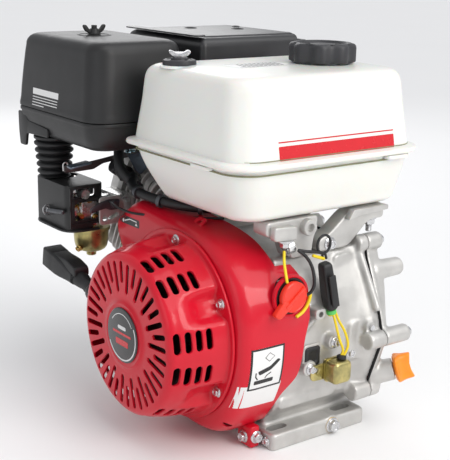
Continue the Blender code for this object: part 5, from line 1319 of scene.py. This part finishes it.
TAB_SECTIONS = ((-6.2, 14.6, 14.6), (-5.6, 16, 16), (-4, 16.8, 16.4), (-1, 16.8, 13.5), (2, 16.6, 9.8),
    (5, 16.4, 7.6), (9, 16.2, 6.4), (13, 16, 6), (14.6, 15.6, 5.4), (15.2, 14.8, 4.4))


def dipstick():
    where, far = DIPSTICK_FRAME, DIPSTICK_TOP
    stick = turned([(0.2, -18), (3.4, -18), (4, -17), (4, far - 22), (8.3, far - 22), (8.3, far - 7.4),
        (13.5, far - 7.4), (14.6, far - 6.8), (14.6, far - 2), (0.2, far - 2)], where, 96, "caps")
    sections = []
    for h, half_width, half_depth in TAB_SECTIONS:
        outline = []
        for k in range(64):
            a = 2 * pi * k / 64
            x, y = cos(a), sin(a)
            dish = 1 - 0.34 * smooth_step((h + 4) / 8) * smooth_step(1.5 - 1.9 * abs(x))
            outline.append((abs(x) ** 0.7 * (1 if x > 0 else -1) * half_width,
                abs(y) ** 0.7 * (1 if y > 0 else -1) * half_depth * dish))
        sections.append([(x, y, far + h - (3.4 * (1 - (x / 16) ** 2) if h > 10 else 0))
            for x, y in outline])
    tab = skin(sections, where @ Matrix.Rotation(radians(90), 4, "Z"))
    piece([stick, tab], "dipstick_cap", "orange", "oil_dipstick", ("dipstick",))


def spark_parts():
    where = PLUG_FRAME
    boot = turned([(5.5, 26.2), (9.6, 26.2), (10.2, 27.4), (10.2, 30), (9.2, 31.4), (9.2, 40), (9.6, 48),
        (9.2, 52.4), (7.4, 54), (0.3, 54.4), (0.3, 46.4), (5.5, 46.2)], where, 40)
    bend = PLUG_SEAT + PLUG_DIRECTION * 50
    elbow = tube(smooth_route([PLUG_SEAT + PLUG_DIRECTION * 48, bend + Vector((0, -8, -3)),
        bend + Vector((1, -20, -12))], 6), 5.6, 24)
    piece([boot, elbow], "plug_boot", "rubber", replaces=("spark_plug_cap",))
    shell = turned([(0.3, -26), (6.8, -26), (6.8, 12), (9.4, 12), (9.4, 13.4), (0.3, 13.4)], where, 40,
        "caps")
    body = loft([(hexagon(18.4, 10.4), 12.6), (hexagon(18.4, 10.4), 21), (hexagon(17, 9.2), 22.2)], where)
    piece([shell, body], "plug_shell", "steel", replaces=("spark_plug",))
    profile = [(0.3, 21), (5.4, 21)]
    for k in range(4):
        profile += [(5.4, 23.5 + 4 * k), (4.8, 24.5 + 4 * k), (4.8, 26 + 4 * k)]
    profile += [(5.2, 42), (3, 43.6), (0.3, 43.6)]
    piece(turned(profile, where, 32, "caps"), "plug_insulator", "ceramic")


def ignition_coil():
    coil = bevelled(block((-106, 6, 229.5), (-80, 42, 245)), 2.2, 3)
    laminations = [block((-104, y, 226.4), (-82, y + 6, 229.4)) for y in (10, 32)]
    laminations = bevelled(joined(laminations), 0.4, 1)
    piece(coil, "coil_pack", "black_plastic", replaces=("ignition_coil",))
    piece(laminations, "coil_laminations", "dark_steel")


# ---- labels
def surface_tree(name):
    """A finished piece's surface, for pressing labels onto it."""
    obj = bpy.data.objects[name]
    bm = bmesh.new()
    bm.from_mesh(obj.data)
    bm.transform(obj.matrix_world)
    tree = BVHTree.FromBMesh(bm)
    bm.free()
    return tree


FILM_LIFT, PRINT_LIFT = 0.12, 0.2
RAY_LENGTH = 0.12
DRAPE_GRID = 3
MISSED = Vector((0, 0, 9))


def draped(tree, loops, where, lift, name, kind, body="engine"):
    """Flat outlines pressed onto a surface along local -z of where, as thin films."""
    bm = bmesh.new()
    for loop in loops:
        face = bm.faces.new([bm.verts.new((x, y, 0)) for x, y in loop])
        face.normal_update()
    low = [min(v.co[i] for v in bm.verts) for i in range(2)]
    high = [max(v.co[i] for v in bm.verts) for i in range(2)]
    for axis in (0, 1):
        steps = int((high[axis] - low[axis]) / DRAPE_GRID)
        for k in range(1, steps + 1):
            at = low[axis] + (high[axis] - low[axis]) * k / (steps + 1)
            point = Vector((at, 0, 0)) if axis == 0 else Vector((0, at, 0))
            normal = Vector((1, 0, 0)) if axis == 0 else Vector((0, 1, 0))
            bmesh.ops.bisect_plane(bm, geom=bm.verts[:] + bm.edges[:] + bm.faces[:], plane_co=point,
                plane_no=normal)
    direction = -(where.to_3x3() @ Vector((0, 0, 1)))
    for vert in bm.verts:
        start = where @ (vert.co * MM)
        hit, normal, _, _ = tree.ray_cast(start, direction, RAY_LENGTH)
        vert.co = hit + normal * lift * MM if hit else MISSED
    missed = [vert for vert in bm.verts if vert.co == MISSED]
    bmesh.ops.delete(bm, geom=missed, context="VERTS")
    return piece(from_bmesh(bm), name, kind, body, angle=60)


def stroke(points, width):
    """A line of a given width through points, as one flat outline."""
    left, right = [], []
    for i, p in enumerate(points):
        a = Vector(points[max(i - 1, 0)])
        b = Vector(points[min(i + 1, len(points) - 1)])
        side = (b - a).orthogonal().normalized() * width / 2
        left.append(tuple(Vector(p) + side))
        right.append(tuple(Vector(p) - side))
    return left + right[::-1]


def labels():
    tree = surface_tree("cooling_shroud")
    side = frame_y(-86, -200, 110.5)
    draped(tree, [rounded_box(-22.5, -25, 22.5, 25, 1.5, 4)], side, FILM_LIFT, "side_label_film", "label")
    border = [stroke(p, 2.2) for p in (((-22.4, -23.9), (22.4, -23.9)), ((-22.4, 23.9), (22.4, 23.9)),
        ((-21.4, -24.9), (-21.4, 24.9)), ((21.4, -24.9), (21.4, 24.9)))]
    lever = [softened([(-13, -2), (4, 2), (8, 5), (14, 9), (18, 7), (12, 2), (5, -3), (-10, -7)], 2, 4),
        softened([(-16, -18), (10, -18), (10, -13), (-16, -13)], 1.2, 3),
        stroke(((-12, -12), (-15, -8), (-15, -3)), 1.6), stroke(((-2, -12), (0, -9), (6, -6)), 1.4),
        stroke(((-4, 13), (2, 18), (9, 13), (2, 8), (-4, 13)), 0.8)]
    draped(tree, border + lever, side, PRINT_LIFT, "side_label_print", "label_black")
    lower = frame_y(-92, -200, 76) @ Matrix.Rotation(radians(-2), 4, "Z")
    draped(tree, [rounded_box(-29, -14.5, 29, 14.5, 1.5, 4)], lower, FILM_LIFT, "lower_label_film", "label")
    sticker = frame_x(0, 110, 230) @ frame_z(0, 0, -200) @ Matrix.Rotation(pi, 4, "X")
    draped(tree, [rounded_box(-24, -5, 24, 5, 2.2, 4)], sticker, FILM_LIFT, "throttle_label_film",
        "label_black")
    draped(tree, [stroke(((-18, -2), (-2, -2.4), (10, 1.6)), 1.4), circle(13, 1.6, 2.2, 12),
        softened([(-20, 3), (-14, 3), (-17, -1)], 1, 2)], sticker, PRINT_LIFT, "throttle_label_print",
        "label")


def tank_band():
    """The plain red band along the tank's front and the small hatched label on its top."""
    tree = surface_tree("tank_shell")
    front = frame_y(9, -200, 346)
    draped(tree, [rounded_box(-84, -7.5, 84, 7.5, 1.2, 4)], front, FILM_LIFT, "tank_band", "label_red")
    draped(tree, [rounded_box(-84, 11, 84, 12.4, 0.5, 2)], front, FILM_LIFT, "tank_band_line", "label_red")
    top = frame_z(-22, -10, 500)
    draped(tree, [rounded_box(-38, -17, 38, 17, 2, 4)], top, FILM_LIFT, "tank_top_label", "label")
    hatching = [stroke(((x, -12), (x + 5, 12)), 3) for x in range(-26, 30, 6)]
    hatching += [rounded_box(-36, 14.6, 36, 15.8, 0.4, 2), rounded_box(-36, -15.8, 36, -14.6, 0.4, 2)]
    draped(tree, hatching, top, PRINT_LIFT, "tank_top_label_lines", "label_black")

def filter_label():
    """The plain label on the filter cover's front, which lifts with the cover."""
    tree = surface_tree("filter_cover")
    side = frame_x(-250, 224, 366) @ Matrix.Rotation(pi, 4, "Z") @ Matrix.Rotation(pi, 4, "X")
    draped(tree, [rounded_box(-34, 5, 34, 12.6, 0.6, 3)], side, FILM_LIFT, "filter_label_film", "label",
        "air_cover")
    lines = [rounded_box(-34, 1.4 - 3.4 * k, 32 - 34 * (k == 3), 2.4 - 3.4 * k, 0.3, 2) for k in range(4)]
    draped(tree, lines, side, FILM_LIFT, "filter_label_lines", "label", "air_cover")


# ---- finishes of the frame's own parts
NODE_FINISH = {
    "iron": ("intake_rocker", "exhaust_rocker", "camshaft", "governor_gear", "flywheel", "starter_cup"),
    "shaft_steel": (
        "crankshaft_pto_half", "crankshaft_flywheel_half", "crankpin", "balancer_shaft", "connecting_rod",
        "intake_valve", "exhaust_valve", "intake_push_rod", "exhaust_push_rod"),
    "machined": ("piston", "main_bearing_flywheel_side", "main_bearing_pto_side"),
    "steel": ("shaft_key",),
    "black_plastic": ("cooling_fan", "recoil_reel"),
}


def finish_frame_parts():
    kinds = {node: kind for kind, nodes in NODE_FINISH.items() for node in nodes}
    for name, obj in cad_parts.items():
        if name not in kinds or obj.type != "MESH":
            continue
        for slot_place in obj.material_slots:
            slot_place.material = FINISHES[kinds[name]][0]


for make in (recoil_housing, badge, grip, housing_bolts, fan_shroud, switch, fuel_tank, fuel_cap,
        fuel_gauge, air_cleaner_cover, air_cleaner_base, wing_nut, filter_element, intake_duct,
        carburetor_shroud, carburetor, choke_lever, linkage, crankcase, side_cover, case_fasteners,
        tank_brackets, cylinder_head, rocker_cover, muffler_shield, muffler, wiring, oil_alert, hoses,
        dipstick, spark_parts, ignition_coil, labels, tank_band, filter_label, finish_frame_parts):
    make()


# ---- stage
def area_light(name, place, target, size, power, color):
    data = bpy.data.lights.new(name, "AREA")
    data.shape = "DISK"
    data.size = size
    data.energy = power
    data.color = color
    light = bpy.data.objects.new(name, data)
    bpy.context.scene.collection.objects.link(light)
    light.location = place
    light.rotation_euler = (Vector(target) - Vector(place)).to_track_quat("-Z", "Y").to_euler()


# name, place, aim, size in metres, watts and colour
LIGHTS = (("key", (0.3, -1.9, 1.2), (0, 0, 0.2), 1, 16, (1, 0.98, 0.95)),
          ("back", (0.9, 2, 1.3), (0, 0, 0.3), 1.3, 9, (1, 1, 1)),
          ("fill", (-1.9, -0.6, 0.9), (0, 0, 0.2), 1.2, 3, (0.95, 0.97, 1)))
SKY_COLOR, SKY_STRENGTH = (0.96, 0.97, 1, 1), 0.60
SUN_FROM, SUN_STRENGTH, SUN_SPREAD = (0.25, -0.5, 1), 1.35, 55
FLOOR_HALF = 15000
CAMERA_PLACE = (-762.8, -951.6, 552.4)
CAMERA_AZIMUTH, CAMERA_ELEVATION, CAMERA_ROLL = radians(-36.62), radians(15.02), radians(1.2)
LENS = 81.95


def studio():
    floor = block((-FLOOR_HALF, -FLOOR_HALF, -10), (FLOOR_HALF, FLOOR_HALF, 0))
    floor.name = "floor"
    floor.data.materials.append(surface("floor_paint", (0.86, 0.86, 0.86), 0.6, 0, tint=0.004,
        tint_scale=2))
    world = bpy.data.worlds.new("studio")
    world.use_nodes = True
    background = world.node_tree.nodes["Background"]
    background.inputs["Color"].default_value = SKY_COLOR
    background.inputs["Strength"].default_value = SKY_STRENGTH
    bpy.context.scene.world = world
    sun = bpy.data.lights.new("sky", "SUN")
    sun.energy = SUN_STRENGTH
    sun.angle = radians(SUN_SPREAD)
    sky = bpy.data.objects.new("sky", sun)
    bpy.context.scene.collection.objects.link(sky)
    sky.rotation_euler = Vector(SUN_FROM).to_track_quat("Z", "Y").to_euler()
    for light in LIGHTS:
        area_light(*light)


def camera():
    """The camera's direction, lens and distance, with a slight roll."""
    azimuth, elevation = CAMERA_AZIMUTH, CAMERA_ELEVATION
    back = Vector((sin(azimuth) * cos(elevation), -cos(azimuth) * cos(elevation), sin(elevation)))
    right = Vector((cos(azimuth), sin(azimuth), 0))
    turn = Matrix((right, back.cross(right), back)).transposed().to_4x4()
    data = bpy.data.cameras.new("camera")
    data.sensor_width = 36
    data.lens = LENS
    data.clip_end = 100
    viewer = bpy.data.objects.new("camera", data)
    bpy.context.scene.collection.objects.link(viewer)
    viewer.matrix_world = frame_z(*CAMERA_PLACE) @ turn @ Matrix.Rotation(CAMERA_ROLL, 4, "Z")
    bpy.context.scene.camera = viewer


studio()
camera()
bpy.context.scene.view_settings.view_transform = "Standard"
